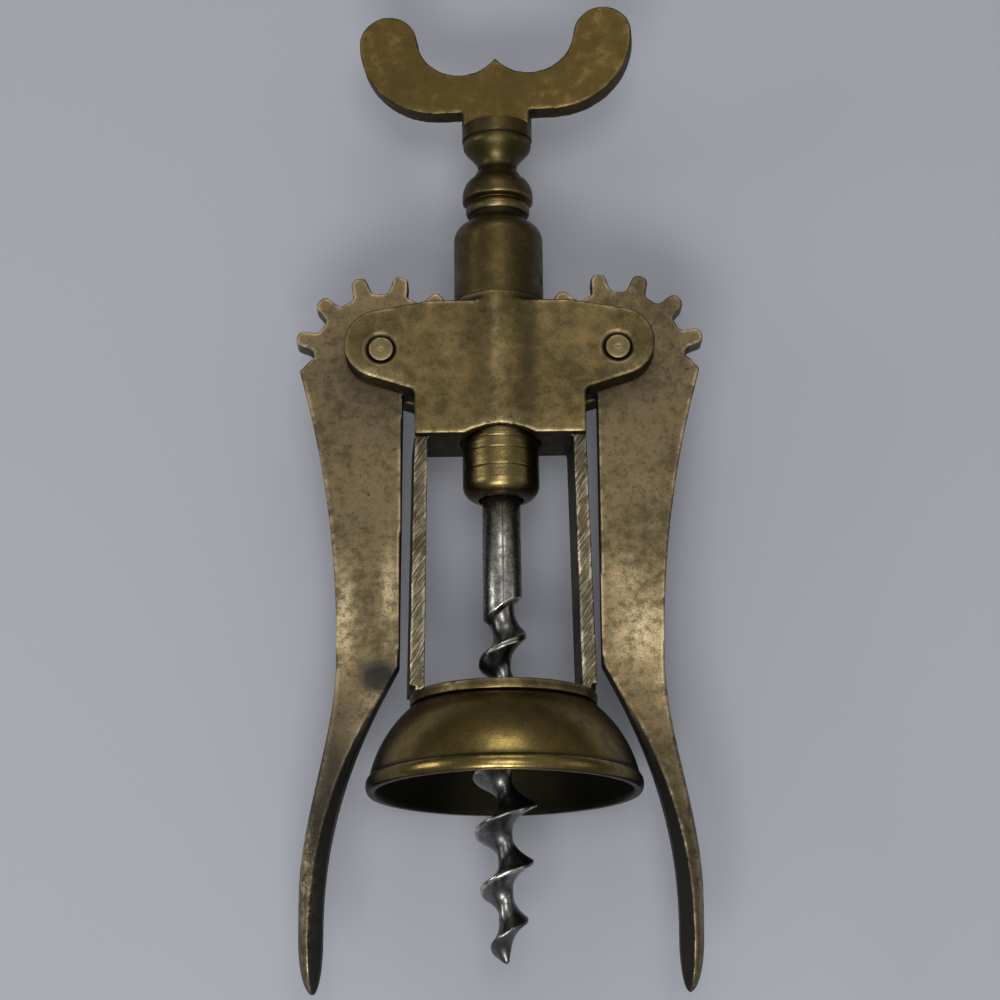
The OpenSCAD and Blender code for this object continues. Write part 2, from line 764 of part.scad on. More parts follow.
module lever() {
    color(BRONZE)
    union() {
        lever_plate();
        lever_grip();
    }
}

module left_lever() {
    mirror([1, 0, 0])
        lever();
}

module right_lever() {
    translate([pivot_x, 0, pivot_z])
        rotate([0, lever_hang, 0])
            translate([-pivot_x, 0, -pivot_z])
                lever();
}

// ---- rack ----------------------------------------------------------------

// Level of the groove that takes tooth k
function groove_z(k) = pivot_z + pitch_r * tooth_phase * PI / 180 + k * ring_step;

module rack() {
    land = (ring_step - ring_w) / 2;
    foot = (ring_step - ring_foot_w) / 2;
    first = ceil((skirt_z1 + end_land + land - groove_z(0)) / ring_step);
    last = floor((rack_z1 - end_land - land - groove_z(0)) / ring_step);
    grooves = [for (k = [first : last]) let (z = groove_z(k))
        each [[rack_r, z - land], [groove_r, z - foot], [groove_r, z + foot], [rack_r, z + land]]];
    color(BRASS)
    rotate_extrude()
        polygon(concat(
            [[shank_r + run_gap, cavity_z1], [cavity_r, cavity_z1], [cavity_r, joint_z],
             [skirt_r, joint_z], [skirt_r, skirt_z1], [rack_r, skirt_z1]],
            grooves,
            [[rack_r, rack_z1], [shank_r + run_gap, rack_z1]]
        ));
}

module rack_end_cap() {
    spigot = cavity_r - fixed_gap;
    spigot_in = mix(spigot, cap_hole_r, 0.68);
    floor_z = cap_z0 + cap_h / 2;
    color(BRASS)
    rotate_extrude()
        polygon(concat(
            [[cap_hole_r, cap_z0], [skirt_r - cap_round, cap_z0]],
            arc(skirt_r - cap_round, cap_z0 + cap_round, cap_round, -75, 0, 7),
            [[skirt_r, joint_z], [spigot, joint_z], [spigot, joint_z + cap_spigot_h],
             [spigot_in, joint_z + cap_spigot_h], [spigot_in, floor_z], [cap_hole_r, floor_z]]
        ));
}

module retaining_ring() {
    color(STEEL)
    translate([0, 0, keeper_z1 - keeper_t])
    difference() {
        cylinder(r = keeper_r, h = keeper_t);
        translate([0, 0, -over])
            cylinder(r = shank_r - keeper_groove + fixed_gap, h = keeper_t + 2 * over);
    }
}

// ---- screw ---------------------------------------------------------------

// Radius over the flange by height above the worm's tip
function flange_r(h) =
    let (wide = worm_l * flange_wide,
         proud = flange_proud * clamp01((worm_l - h) / shank_r))
    h > wide ? mix(worm_r, shank_r + proud, ease((h - wide) / (worm_l - wide)))
        : worm_r * pow(clamp01((h + flange_start) / wide), 0.28);

// The flange is a ribbon swept down a right-handed helix round the core
module flange() {
    turns = (worm_l - flange_start - lap) / worm_pitch;
    crest_h = worm_l - crest_drop;
    step = 15;
    count = floor(turns * 360 / step);
    rings = [for (i = [0 : count])
        let (a = i * step,
             h = flange_start + a / 360 * worm_pitch,
             r = flange_r(h),
             body = ease((h / worm_l - 0.7) / 0.25),
             edge = flange_t / 2 * mix(1, 2.6, body) * clamp01(h / point_h + 0.4),
             foot = mix(flange_foot[0], flange_foot[1], body) * clamp01(h / point_h + 0.3),
             core = worm_core_r * 0.7,
             turn = (h - crest_h) / worm_pitch * 360)
        [for (p = [[core, -foot], [r, -edge], [r, edge], [core, foot]])
            [p[0] * cos(turn), p[0] * sin(turn), tip_z + h + p[1]]]];
    n = 4;
    points = [for (r = rings) each r];
    sides = [for (k = [0 : count - 1]) for (j = [0 : n - 1])
        let (a = k * n + j, b = k * n + (j + 1) % n) each [[a, b, a + n], [b, b + n, a + n]]];
    bottom = [for (j = [n - 1 : -1 : 0]) j];
    top = [for (j = [0 : n - 1]) count * n + j];
    polyhedron(points = points, faces = concat(sides, [bottom], [top]), convexity = 12);
}

// The shank, whose lower end is cut off on a slope
module shank() {
    shank_z1 = socket_z1 - 3 * end_gap;
    difference() {
        translate([0, 0, shank_z0 - shank_rise])
            cylinder(r = shank_r, h = shank_z1 - shank_z0 + shank_rise);
        translate([0, 0, shank_z0])
            rotate([0, -shank_slant, 0])
                translate([-3 * shank_r, -2 * shank_r, -3 * shank_r])
                    cube([6 * shank_r, 4 * shank_r, 3 * shank_r]);
    }
}

module worm() {
    throat_r = shank_r * throat_share;
    ring_z0 = keeper_z1 - keeper_t - fixed_gap;
    color(STEEL)
    difference() {
        union() {
            shank();
            translate([0, 0, shank_z0 - throat_h])
                cylinder(r1 = worm_core_r, r2 = throat_r, h = throat_h + shank_rise);
            translate([0, 0, tip_z + point_h])
                cylinder(r = worm_core_r, h = worm_l - point_h - throat_h + lap / 10);
            translate([0, 0, tip_z])
                cylinder(r1 = point_r, r2 = worm_core_r, h = point_h);
            flange();
        }
        // groove for the retaining ring
        translate([0, 0, ring_z0])
            difference() {
                cylinder(r = shank_r + over, h = keeper_t + 2 * fixed_gap);
                translate([0, 0, -over])
                    cylinder(r = shank_r - keeper_groove, h = keeper_t + 2 * over);
            }
        spindle_pin_hole();
    }
}

module spindle_pin_hole() {
    rotate([0, 0, handle_turn])
        translate([0, 0, bead_z])
            rotate([0, 90, 0])
                cylinder(r = spindle_pin_r + fixed_gap, h = 2 * neck_r, center = true);
}

module spindle_pin() {
    color(STEEL)
    rotate([0, 0, handle_turn])
        translate([0, 0, bead_z])
            rotate([0, 90, 0])
                cylinder(r = spindle_pin_r, h = 2 * (stem_bead_r - spindle_pin_sink), center = true);
}

module stem() {
    pinch_r = ring_r - pinch_in;
    spigot_out = rack_bore_r - end_gap;
    vase_steps = 10;
    vase_top_r = collar_r - 0.15;
    vase_full = 0.85;
    vase = [for (i = [0 : vase_steps]) let (t = i / vase_steps, up = pow(min(1, t / vase_full), 1.25))
        [mix(stem_neck_r, vase_top_r, ease(up)), mix(neck_z, collar_z0, mix(0.08, 1, t))]];
    bead_foot_r = pinch_r - 0.1;
    bead_high = 0.72 * stem_bead_h;
    bead = [for (i = [0 : 6]) let (a = mix(-70, 60, i / 6))
        [mix(bead_foot_r, stem_bead_r, cos(a)), bead_z + bead_high * sin(a)]];
    ring_foot_r = stem_neck_r + 0.1;
    ring_high = 0.6 * ring_h;
    ring_mid_z = ring_z + 0.173 * ring_h;
    ring = [for (i = [0 : 8]) let (a = mix(-12, 72, i / 8))
        [mix(ring_foot_r, ring_r, pow(cos(a), 0.75)), ring_mid_z + ring_high * sin(a)]];
    color(BRASS)
    difference() {
        rotate_extrude()
            polygon(concat(
                [[0, socket_z1], [shank_r + fixed_gap, socket_z1], [shank_r + fixed_gap, stem_z0],
                 [spigot_out, stem_z0], [spigot_out, sleeve_z1],
                 [mix(spigot_out, pinch_r, 0.5), mix(sleeve_z1, pinch_z, 0.45)]],
                [[pinch_r, pinch_z - 0.2 * pinch_h]],
                bead,
                [[2 * pinch_r - bead_foot_r, ring_z - 0.08 * ring_gap_h]],
                ring,
                vase,
                [[collar_r, collar_z0 + 0.06 * collar_h], [collar_r, seat_z1],
                 [tang_r + fixed_gap, seat_z1], [tang_r + fixed_gap, seat_z1 - tang_h - fixed_gap],
                 [0, seat_z1 - tang_h - fixed_gap]]
            ));
        spindle_pin_hole();
    }
}

// ---- handle --------------------------------------------------------------

// Half of the blade: an outer sweep that runs into the lobe
module half_blade() {
    sweep_x = lobe_x + lobe_r - blade_h;
    intersection() {
        union() {
            translate([sweep_x, lobe_z])
                circle(r = blade_h);
            translate([-lap, blade_z0])
                square([sweep_x + lap, blade_h]);
        }
        translate([-lap, blade_z0 - lap])
            square([lobe_x + lobe_r + 2 * lap, blade_h + lap]);
    }
    translate([lobe_x, lobe_z])
        circle(r = lobe_r);
}

// Foot as thick as the blade and as wide as the collar that it stands on
module handle_foot() {
    intersection() {
        translate([0, 0, seat_z1])
            cylinder(r = collar_r, h = handle_foot_h + lap);
        translate([-2 * collar_r, -blade_t / 2, seat_z1 - lap])
            cube([4 * collar_r, blade_t, handle_foot_h + 3 * lap]);
    }
}

module handle() {
    scoop_z = lobe_z + scoop_rise;
    color(BRASS_GOLD)
    rotate([0, 0, handle_turn])
    union() {
        along_y(blade_t)
            difference() {
                union() {
                    half_blade();
                    mirror([1, 0])
                        half_blade();
                }
                for (side = [-1, 1])
                    translate([side * scoop_x, scoop_z])
                        circle(r = scoop_r);
            }
        handle_foot();
        translate([0, 0, seat_z1 - tang_h])
            cylinder(r = tang_r, h = tang_h + lap);
    }
}

laid() housing();
laid() neck_sleeve();
laid() neck_pin();
laid() left_strut();
laid() right_strut();
laid() bell_plate();
laid() bell();
laid() left_pivot_pin();
laid() right_pivot_pin();
laid() left_lever();
laid() right_lever();
laid() rack();
laid() rack_end_cap();
laid() retaining_ring();
laid() worm();
laid() spindle_pin();
laid() stem();
laid() handle();
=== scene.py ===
"""Wing corkscrew in aged brass, lying on its back on a pale table.

Every piece is worked out upright in millimetres, with the worm's axis as Z and the front at -Y, and is
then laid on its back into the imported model's frame, which is in metres.
"""

import logging
import math
from dataclasses import dataclass, replace
from enum import Enum
from typing import Sequence, Union

import bpy
import numpy as np
from mathutils import Matrix, Vector


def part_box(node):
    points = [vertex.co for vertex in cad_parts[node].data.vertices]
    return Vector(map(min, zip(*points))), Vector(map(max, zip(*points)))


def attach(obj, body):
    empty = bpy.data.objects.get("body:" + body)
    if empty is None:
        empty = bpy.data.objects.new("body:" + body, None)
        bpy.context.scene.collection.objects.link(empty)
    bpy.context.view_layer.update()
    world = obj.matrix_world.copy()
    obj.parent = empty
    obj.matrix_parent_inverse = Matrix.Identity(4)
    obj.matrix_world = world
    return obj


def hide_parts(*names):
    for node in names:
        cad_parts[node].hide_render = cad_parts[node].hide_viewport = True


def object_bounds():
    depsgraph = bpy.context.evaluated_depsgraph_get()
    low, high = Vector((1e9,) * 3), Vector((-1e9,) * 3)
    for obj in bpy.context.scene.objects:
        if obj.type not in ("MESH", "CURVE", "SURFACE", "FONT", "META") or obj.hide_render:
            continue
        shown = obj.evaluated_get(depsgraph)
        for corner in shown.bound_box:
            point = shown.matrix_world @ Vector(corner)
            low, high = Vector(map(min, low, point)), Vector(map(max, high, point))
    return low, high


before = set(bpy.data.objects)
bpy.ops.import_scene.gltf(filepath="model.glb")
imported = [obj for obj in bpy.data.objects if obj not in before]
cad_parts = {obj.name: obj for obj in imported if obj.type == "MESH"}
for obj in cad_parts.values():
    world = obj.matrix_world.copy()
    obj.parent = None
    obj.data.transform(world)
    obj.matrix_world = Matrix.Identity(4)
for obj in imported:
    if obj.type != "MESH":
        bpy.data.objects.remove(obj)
PACKED_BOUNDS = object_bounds()

LOG = logging.getLogger("corkscrew")
# Metres in a millimetre
MM = 0.001
# The whole length and the radius of the bell's rim, on which the tool lies
LENGTH = (PACKED_BOUNDS[1].y - PACKED_BOUNDS[0].y) / MM
RIM_R = (PACKED_BOUNDS[1].z - PACKED_BOUNDS[0].z) / 2 / MM
# Radius at which a solid piece's outline stops short of its axis, so that no face shrinks to a line
AXIS_R = 0.02

Colour = tuple[float, float, float]
Place = tuple[float, float, float]
Points = np.ndarray
Piece = bpy.types.Object
Mesh = bpy.types.Mesh


# ---- the frame ----


def upright(points: Points) -> Points:
    """Stands points of the frame up again, with Z along the worm's axis and the front at -Y."""
    x, y, z = points.T
    return np.column_stack((x / MM, RIM_R - z / MM, y / MM + LENGTH / 2))


def laid(points: Points) -> Points:
    """Lays upright points on their back, in metres of the frame."""
    x, y, z = points.T
    return np.column_stack((x, z - LENGTH / 2, RIM_R - y)) * MM


@dataclass(frozen=True)
class Extent:
    """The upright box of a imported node, in millimetres: middle, half its size, levels and radius."""

    middle: Points
    half: Points
    z0: float
    z1: float
    radius: float

    @classmethod
    def of(cls, node: str) -> "Extent":
        """Measures a node.

        Args:
            node: its name.

        Returns:
            Its box.
        """
        corners = upright(np.array([tuple(corner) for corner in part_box(node)]))
        low, high = corners.min(0), corners.max(0)
        half = (high - low) / 2
        return cls((low + high) / 2, half, float(low[2]), float(high[2]), float(half[0]))


# ---- mesh helpers ----

# Shares of the way to the neighbours' mean that a vertex is moved when edges are rounded
INWARD_STEP, OUTWARD_STEP = 0.5, -0.52
# Bends per millimetre between which an edge shows more and more wear, or a hollow darkens more and more
PROUD_BENDS = (0.35, 1.5)
SUNK_BENDS = (0.25, 1.3)
SHARPEST_BEND = 3
SHORTEST_EDGE_SQUARED = 0.003
# Parts of a normal, forwards or towards the axis, over which the painted shade on flanks, inner faces and
# bores fades in
FRONT_SHARES = (0.25, 0.7)
INWARD_SHARES = (0.22, 0.5)
FLANK_SHARES = (0.2, 0.75)
BORE_SHARES = (-0.5, 0.0)


def smoothstep(value: Points, low: float, high: float) -> Points:
    """Eases from 0 at low to 1 at high."""
    t = np.clip((np.asarray(value, float) - low) / (high - low), 0, 1)
    return t * t * (3 - 2 * t)


class Outline:
    """A closed outline of a turned piece, as radius and level, with rounded corners."""

    def __init__(self) -> None:
        """Starts an empty outline."""
        self.corners: list[tuple[float, float, float]] = []

    def to(self, radius: float, level: float, rounding: float = 0.0) -> "Outline":
        """Adds a corner, rounded by a radius, and gives the outline back so that calls chain."""
        self.corners.append((radius, level, rounding))
        return self

    def arc(self, centre: tuple[float, float], radius: float, start: float, end: float,
            steps: int = 14, squeeze: float = 1.0) -> "Outline":
        """Adds an arc.

        Args:
            centre: radius and level of its centre.
            radius: the arc's own radius.
            start: first angle in degrees, from the outward direction.
            end: last angle in degrees.
            steps: number of chords.
            squeeze: scale of the arc along the axis.

        Returns:
            The outline, so that calls chain.
        """
        for i in range(steps + 1):
            angle = math.radians(start + (end - start) * i / steps)
            self.to(centre[0] + radius * math.cos(angle),
                    centre[1] + radius * squeeze * math.sin(angle))
        return self

    def _rounded(self) -> list[Points]:
        """Works each rounding in as a short arc.

        Returns:
            All the corners' points, as radius and level.
        """
        count = len(self.corners)
        out: list[Points] = []
        for i, (radius, level, rounding) in enumerate(self.corners):
            here = np.array((radius, level))
            if rounding <= 0:
                out.append(here)
                continue
            before = np.array(self.corners[i - 1][:2]) - here
            after = np.array(self.corners[(i + 1) % count][:2]) - here
            room_before, room_after = np.linalg.norm(before), np.linalg.norm(after)
            before, after = before / room_before, after / room_after
            half = math.acos(float(np.clip(before @ after, -1, 1))) / 2
            reach = min(rounding / math.tan(half), 0.45 * room_before, 0.45 * room_after)
            first, last = here + before * reach, here + after * reach
            for t in np.linspace(0, 1, 7):
                out.append((1 - t) ** 2 * first + 2 * t * (1 - t) * here + t * t * last)
        return out

    def loop(self, spacing: float) -> Points:
        """The finished outline.

        Args:
            spacing: longest side that is left undivided.

        Returns:
            n by 2 radii and levels, in order.
        """
        corners = self._rounded()
        out: list[Points] = []
        for start, end in zip(corners, corners[1:] + corners[:1]):
            length = float(np.linalg.norm(end - start))
            if length < 1e-4:
                continue
            parts = max(1, math.ceil(length / spacing))
            out.extend(start + (end - start) * k / parts for k in range(parts))
        return np.array(out)


def revolve(loop: Points, segments: int) -> tuple[Points, Points]:
    """Turns a closed outline round the Z axis.

    Args:
        loop: n by 2 radii and levels.
        segments: steps of the full turn.

    Returns:
        Upright vertices and quads.
    """
    angles = np.arange(segments)[:, None] / segments * math.tau
    return around(loop[:, 0], angles, loop[:, 1]), ring_quads(segments, len(loop), closed=True)


def around(radius: Points, angle: Points, level: Points) -> Points:
    """The points of a grid of radii, angles and levels, row by row."""
    grid = np.broadcast_arrays(radius * np.cos(angle), radius * np.sin(angle), level)
    return np.stack(grid, axis=2).reshape(-1, 3)


def ring_quads(rows: int, columns: int, closed: bool) -> Points:
    """Quads between rows of vertices that are closed rings.

    Args:
        rows: number of rows.
        columns: number of vertices in a row.
        closed: whether the last row joins the first.

    Returns:
        m by 4 vertex numbers.
    """
    i = np.arange(rows if closed else rows - 1)[:, None]
    j = np.arange(columns)[None, :]
    a = i * columns + j
    b = i * columns + (j + 1) % columns
    c = (i + 1) % rows * columns + (j + 1) % columns
    d = (i + 1) % rows * columns + j
    return np.stack((a, b, c, d), axis=2).reshape(-1, 4)


def linked(name: str, data: bpy.types.ID) -> Piece:
    """Makes an object and links it to the scene.

    Args:
        name: its name.
        data: its mesh, lamp or camera.

    Returns:
        The object.
    """
    made = bpy.data.objects.new(name, data)
    bpy.context.scene.collection.objects.link(made)
    return made


def mesh_object(name: str, points: Points, faces: Sequence[Sequence[int]]) -> Piece:
    """Makes a smooth-shaded mesh object from upright points, with its normals outwards.

    Args:
        name: the piece's name.
        points: upright vertices in millimetres.
        faces: vertex numbers of each face.

    Returns:
        The new object, laid in the frame.
    """
    mesh = bpy.data.meshes.new(name)
    mesh.from_pydata(laid(points).tolist(), [], [list(map(int, face)) for face in faces])
    mesh.validate()
    if signed_volume(mesh) < 0:
        mesh.flip_normals()
    mesh.shade_smooth()
    return linked(name, mesh)


def signed_volume(mesh: Mesh) -> float:
    """Six times the volume inside a mesh.

    Args:
        mesh: the closed mesh.

    Returns:
        The volume, negative when the faces face inwards.
    """
    mesh.calc_loop_triangles()
    corners = read(mesh.loop_triangles, "vertices", 3, np.int32)
    a, b, c = coordinates(mesh)[corners].transpose(1, 0, 2)
    return float((a * np.cross(b, c)).sum())


def read(items: bpy.types.bpy_prop_collection, key: str, width: int, kind: type) -> Points:
    """One property of every item of a mesh.

    Args:
        items: the mesh's vertices, edges, triangles or normals.
        key: the property.
        width: its count of numbers.
        kind: the numbers' type.

    Returns:
        A row per item.
    """
    flat = np.empty(len(items) * width, kind)
    items.foreach_get(key, flat)
    return flat.reshape(-1, width)


def coordinates(mesh: Mesh) -> Points:
    """The mesh's vertices as an n by 3 array."""
    return read(mesh.vertices, "co", 3, np.float64)


def edge_pairs(mesh: Mesh) -> Points:
    """The two vertex numbers of each edge."""
    return read(mesh.edges, "vertices", 2, np.int32)


def vertex_normals(mesh: Mesh) -> Points:
    """The mesh's vertex normals as an n by 3 array."""
    return read(mesh.vertex_normals, "vector", 3, np.float32)


def neighbour_mean(values: Points, pairs: Points) -> Points:
    """Mean of the neighbours' values at each vertex.

    Args:
        values: one row per vertex.
        pairs: the edges.

    Returns:
        The means, in the shape of the values.
    """
    count = len(values)
    columns = values.reshape(count, -1)
    links = np.maximum(np.bincount(pairs.ravel(), minlength=count), 1)
    totals = [np.bincount(pairs[:, 0], column[pairs[:, 1]], count)
              + np.bincount(pairs[:, 1], column[pairs[:, 0]], count) for column in columns.T]
    return np.stack([total / links for total in totals], axis=1).reshape(values.shape)


def spread(values: Points, pairs: Points, rounds: int) -> Points:
    """Averages each vertex with its neighbours.

    Args:
        values: one row per vertex.
        pairs: the edges.
        rounds: how often.

    Returns:
        The averaged values.
    """
    for _ in range(rounds):
        values = (values + neighbour_mean(values, pairs)) / 2
    return values


def soften(mesh: Mesh, rounds: int) -> None:
    """Rounds a mesh's edges without shrinking it, by alternate inward and outward averaging.

    Args:
        mesh: the mesh, changed in place.
        rounds: number of averaging pairs.
    """
    pairs, points = edge_pairs(mesh), coordinates(mesh)
    for step in (INWARD_STEP, OUTWARD_STEP) * rounds:
        points = points + step * (neighbour_mean(points, pairs) - points)
    mesh.vertices.foreach_set("co", points.ravel())
    mesh.update()


def store(mesh: Mesh, name: str, values: Points) -> None:
    """Keeps one number per vertex on the mesh, for its material to read."""
    attribute = mesh.attributes.new(name, "FLOAT", "POINT")
    attribute.data.foreach_set("value", np.asarray(values, np.float32))


def mark_wear(piece: Piece, soft: int = 2) -> None:
    """Stores how proud ('wear') and how sunken ('hollow') the surface is at each vertex.

    The bend of the surface is read from the turn of the normals along each edge, per millimetre.

    Args:
        piece: the piece, whose mesh gets the two attributes.
        soft: rounds of averaging that widen the marks.
    """
    mesh = piece.data
    pairs = edge_pairs(mesh)
    points = coordinates(mesh) / MM
    normals = vertex_normals(mesh)
    step = points[pairs[:, 1]] - points[pairs[:, 0]]
    turn = normals[pairs[:, 1]] - normals[pairs[:, 0]]
    length = (step * step).sum(1)
    bend = np.where(length > SHORTEST_EDGE_SQUARED, (turn * step).sum(1) / np.maximum(length, 1e-6), 0)
    proud, sunk = np.zeros(len(points)), np.zeros(len(points))
    for side in (0, 1):
        np.maximum.at(proud, pairs[:, side], bend)
        np.minimum.at(sunk, pairs[:, side], bend)
    proud = spread(np.clip(proud, 0, SHARPEST_BEND), pairs, soft)
    sunk = spread(np.clip(-sunk, 0, SHARPEST_BEND), pairs, soft + 2)
    store(mesh, "wear", smoothstep(proud, *PROUD_BENDS))
    store(mesh, "hollow", smoothstep(sunk, *SUNK_BENDS))


def mark_sides(piece: Piece, inner: int) -> None:
    """Stores painted shade ('skin'), the more the surface turns from the front and the back.

    Args:
        piece: the piece, whose mesh gets the attribute.
        inner: the side of the axis, -1 or 1, that a piece whose inner face gets painted shade lies on,
            otherwise 0.
    """
    normals = vertex_normals(piece.data)
    shade_and_seam = 1 - smoothstep(np.abs(normals[:, 2]), *FRONT_SHARES)
    inward = smoothstep(-inner * normals[:, 0], *INWARD_SHARES)
    store(piece.data, "shade_and_seam", np.maximum(shade_and_seam * (1 - 0.5 * abs(inner)), inward))


def mark_inside(piece: Piece, flank_shade: float) -> None:
    """Stores painted shade ('skin') on the surfaces of a turned piece that face its axis, and partly on its
    left and right flanks.

    Args:
        piece: the turned piece.
        flank_shade: how much painted shade the left and right flanks get.
    """
    points, normals = coordinates(piece.data), vertex_normals(piece.data)
    out = np.column_stack((points[:, 0], points[:, 2] - RIM_R * MM))
    out /= np.maximum(np.linalg.norm(out, axis=1), 1e-6)[:, None]
    facing = normals[:, 0] * out[:, 0] + normals[:, 2] * out[:, 1]
    inside = 1 - smoothstep(facing, *BORE_SHARES)
    flank = flank_shade * (1 - smoothstep(np.abs(normals[:, 2]), *FLANK_SHARES))
    store(piece.data, "shade_and_seam", np.maximum(inside, flank))


# ---- shader maths ----

Input = Union["Signal", float, Sequence[float]]


class Signal:
    """One output of a node, with arithmetic that adds Math nodes."""

    def __init__(self, graph: "Graph", socket: bpy.types.NodeSocket) -> None:
        """Wraps a socket of the graph."""
        self.graph = graph
        self.socket = socket

    def __add__(self, other: Input) -> "Signal":
        """Sum."""
        return self.graph.math("ADD", self, other)

    __radd__ = __add__

    def __sub__(self, other: Input) -> "Signal":
        """Difference."""
        return self.graph.math("SUBTRACT", self, other)

    def __rsub__(self, other: Input) -> "Signal":
        """Difference from a number."""
        return self.graph.math("SUBTRACT", other, self)

    def __mul__(self, other: Input) -> "Signal":
        """Product."""
        return self.graph.math("MULTIPLY", self, other)

    __rmul__ = __mul__

    def limited(self) -> "Signal":
        """The value held between 0 and 1."""
        return self.graph.node("ShaderNodeClamp", {}, {0: self})

    def eased(self, low: float, high: float, bottom: float = 0.0, top: float = 1.0) -> "Signal":
        """Eases from bottom at low to top at high."""
        return self.graph.node("ShaderNodeMapRange", {"interpolation_type": "SMOOTHSTEP"},
                               {0: self, 1: low, 2: high, 3: bottom, 4: top})


class Graph:
    """The node tree of a material or of the world."""

    def __init__(self, owner: Union[bpy.types.Material, bpy.types.World], shader: str) -> None:
        """Opens the tree of a new material or world.

        Args:
            owner: what the nodes belong to.
            shader: the name of its shader node.
        """
        self.owner = owner
        owner.use_nodes = True
        self.tree = self.owner.node_tree
        self.shader = self.tree.nodes[shader]

    @classmethod
    def of_material(cls, name: str) -> "Graph":
        """A new material with a Principled shader."""
        return cls(bpy.data.materials.new(name), "Principled BSDF")

    def node(self, kind: str, settings: dict[str, object], inputs: dict[Union[int, str], Input],
             output: Union[int, str] = 0) -> Signal:
        """Adds a node.

        Args:
            kind: the node's type.
            settings: its properties, set first.
            inputs: a value or a link for each socket, by number or name.
            output: the output to use.

        Returns:
            That output.
        """
        made = self.tree.nodes.new(kind)
        for key, value in settings.items():
            setattr(made, key, value)
        for key, value in inputs.items():
            self.feed(made.inputs[key], value)
        return Signal(self, made.outputs[output])

    def feed(self, socket: bpy.types.NodeSocket, value: Input) -> None:
        """Links a signal to a socket, or sets the socket's own value.

        Args:
            socket: the input.
            value: the signal or value.
        """
        if isinstance(value, Signal):
            self.tree.links.new(value.socket, socket)
        elif socket.type == "RGBA":
            socket.default_value = (*value, 1.0)
        else:
            socket.default_value = value

    def math(self, operation: str, a: Input, b: Input) -> Signal:
        """Adds a Math node."""
        return self.node("ShaderNodeMath", {"operation": operation}, {0: a, 1: b})

    def mix(self, a: Input, b: Input, factor: Input) -> Signal:
        """Mixes two colours by a factor."""
        return self.node("ShaderNodeMix", {"data_type": "RGBA"}, {0: factor, 6: a, 7: b}, 2)

    def attribute(self, name: str) -> Signal:
        """A number that the mesh carries."""
        return self.node("ShaderNodeAttribute", {"attribute_name": name}, {}, "Fac")

    def place(self) -> Signal:
        """The point on the surface, in millimetres of the frame."""
        point = self.node("ShaderNodeTexCoord", {}, {}, "Object")
        return self.node("ShaderNodeVectorMath", {"operation": "SCALE"}, {0: point, 3: 1 / MM})

    def stretched(self, point: Signal, turn: float, scale: Place) -> Signal:
        """The point turned about the frame's Z axis, in degrees, and then scaled."""
        turned = self.node("ShaderNodeVectorRotate", {"rotation_type": "Z_AXIS"},
                           {0: point, 3: math.radians(turn)})
        return self.node("ShaderNodeVectorMath", {"operation": "MULTIPLY"}, {0: turned, 1: scale})

    def noise(self, point: Signal, scale: float, detail: float = 4.0, rough: float = 0.6) -> Signal:
        """Cloudy noise about 0.5, with a scale in features per millimetre and finer layers."""
        return self.node("ShaderNodeTexNoise", {},
                         {"Vector": point, "Scale": scale, "Detail": detail, "Roughness": rough})


# Features per millimetre of the fine grain, the flecks, the pits and the waver of file strokes
GRAIN_SCALE, FLECK_SCALE, PIT_SCALE, WAVE_SCALE = 3.4, 2.1, 1.5, 0.22
WAVE_REACH: Place = (3.0, 3.0, 3.0)
# Features per millimetre along each axis of the tool marks
RING_STRETCH: Place = (0.03, 5.0, 0.03)
STROKE_STRETCH: Place = (0.3, 5.4, 0.3)
STREAK_STRETCH: Place = (0.3, 2.4, 0.3)
BUMP_STRENGTH, BUMP_DEPTH = 0.6, 0.05


class Marks(Enum):
    """Tool marks that a finish can show."""

    STREAKED = "streaked"
    TURNED = "turned"
    FILED = "filed"


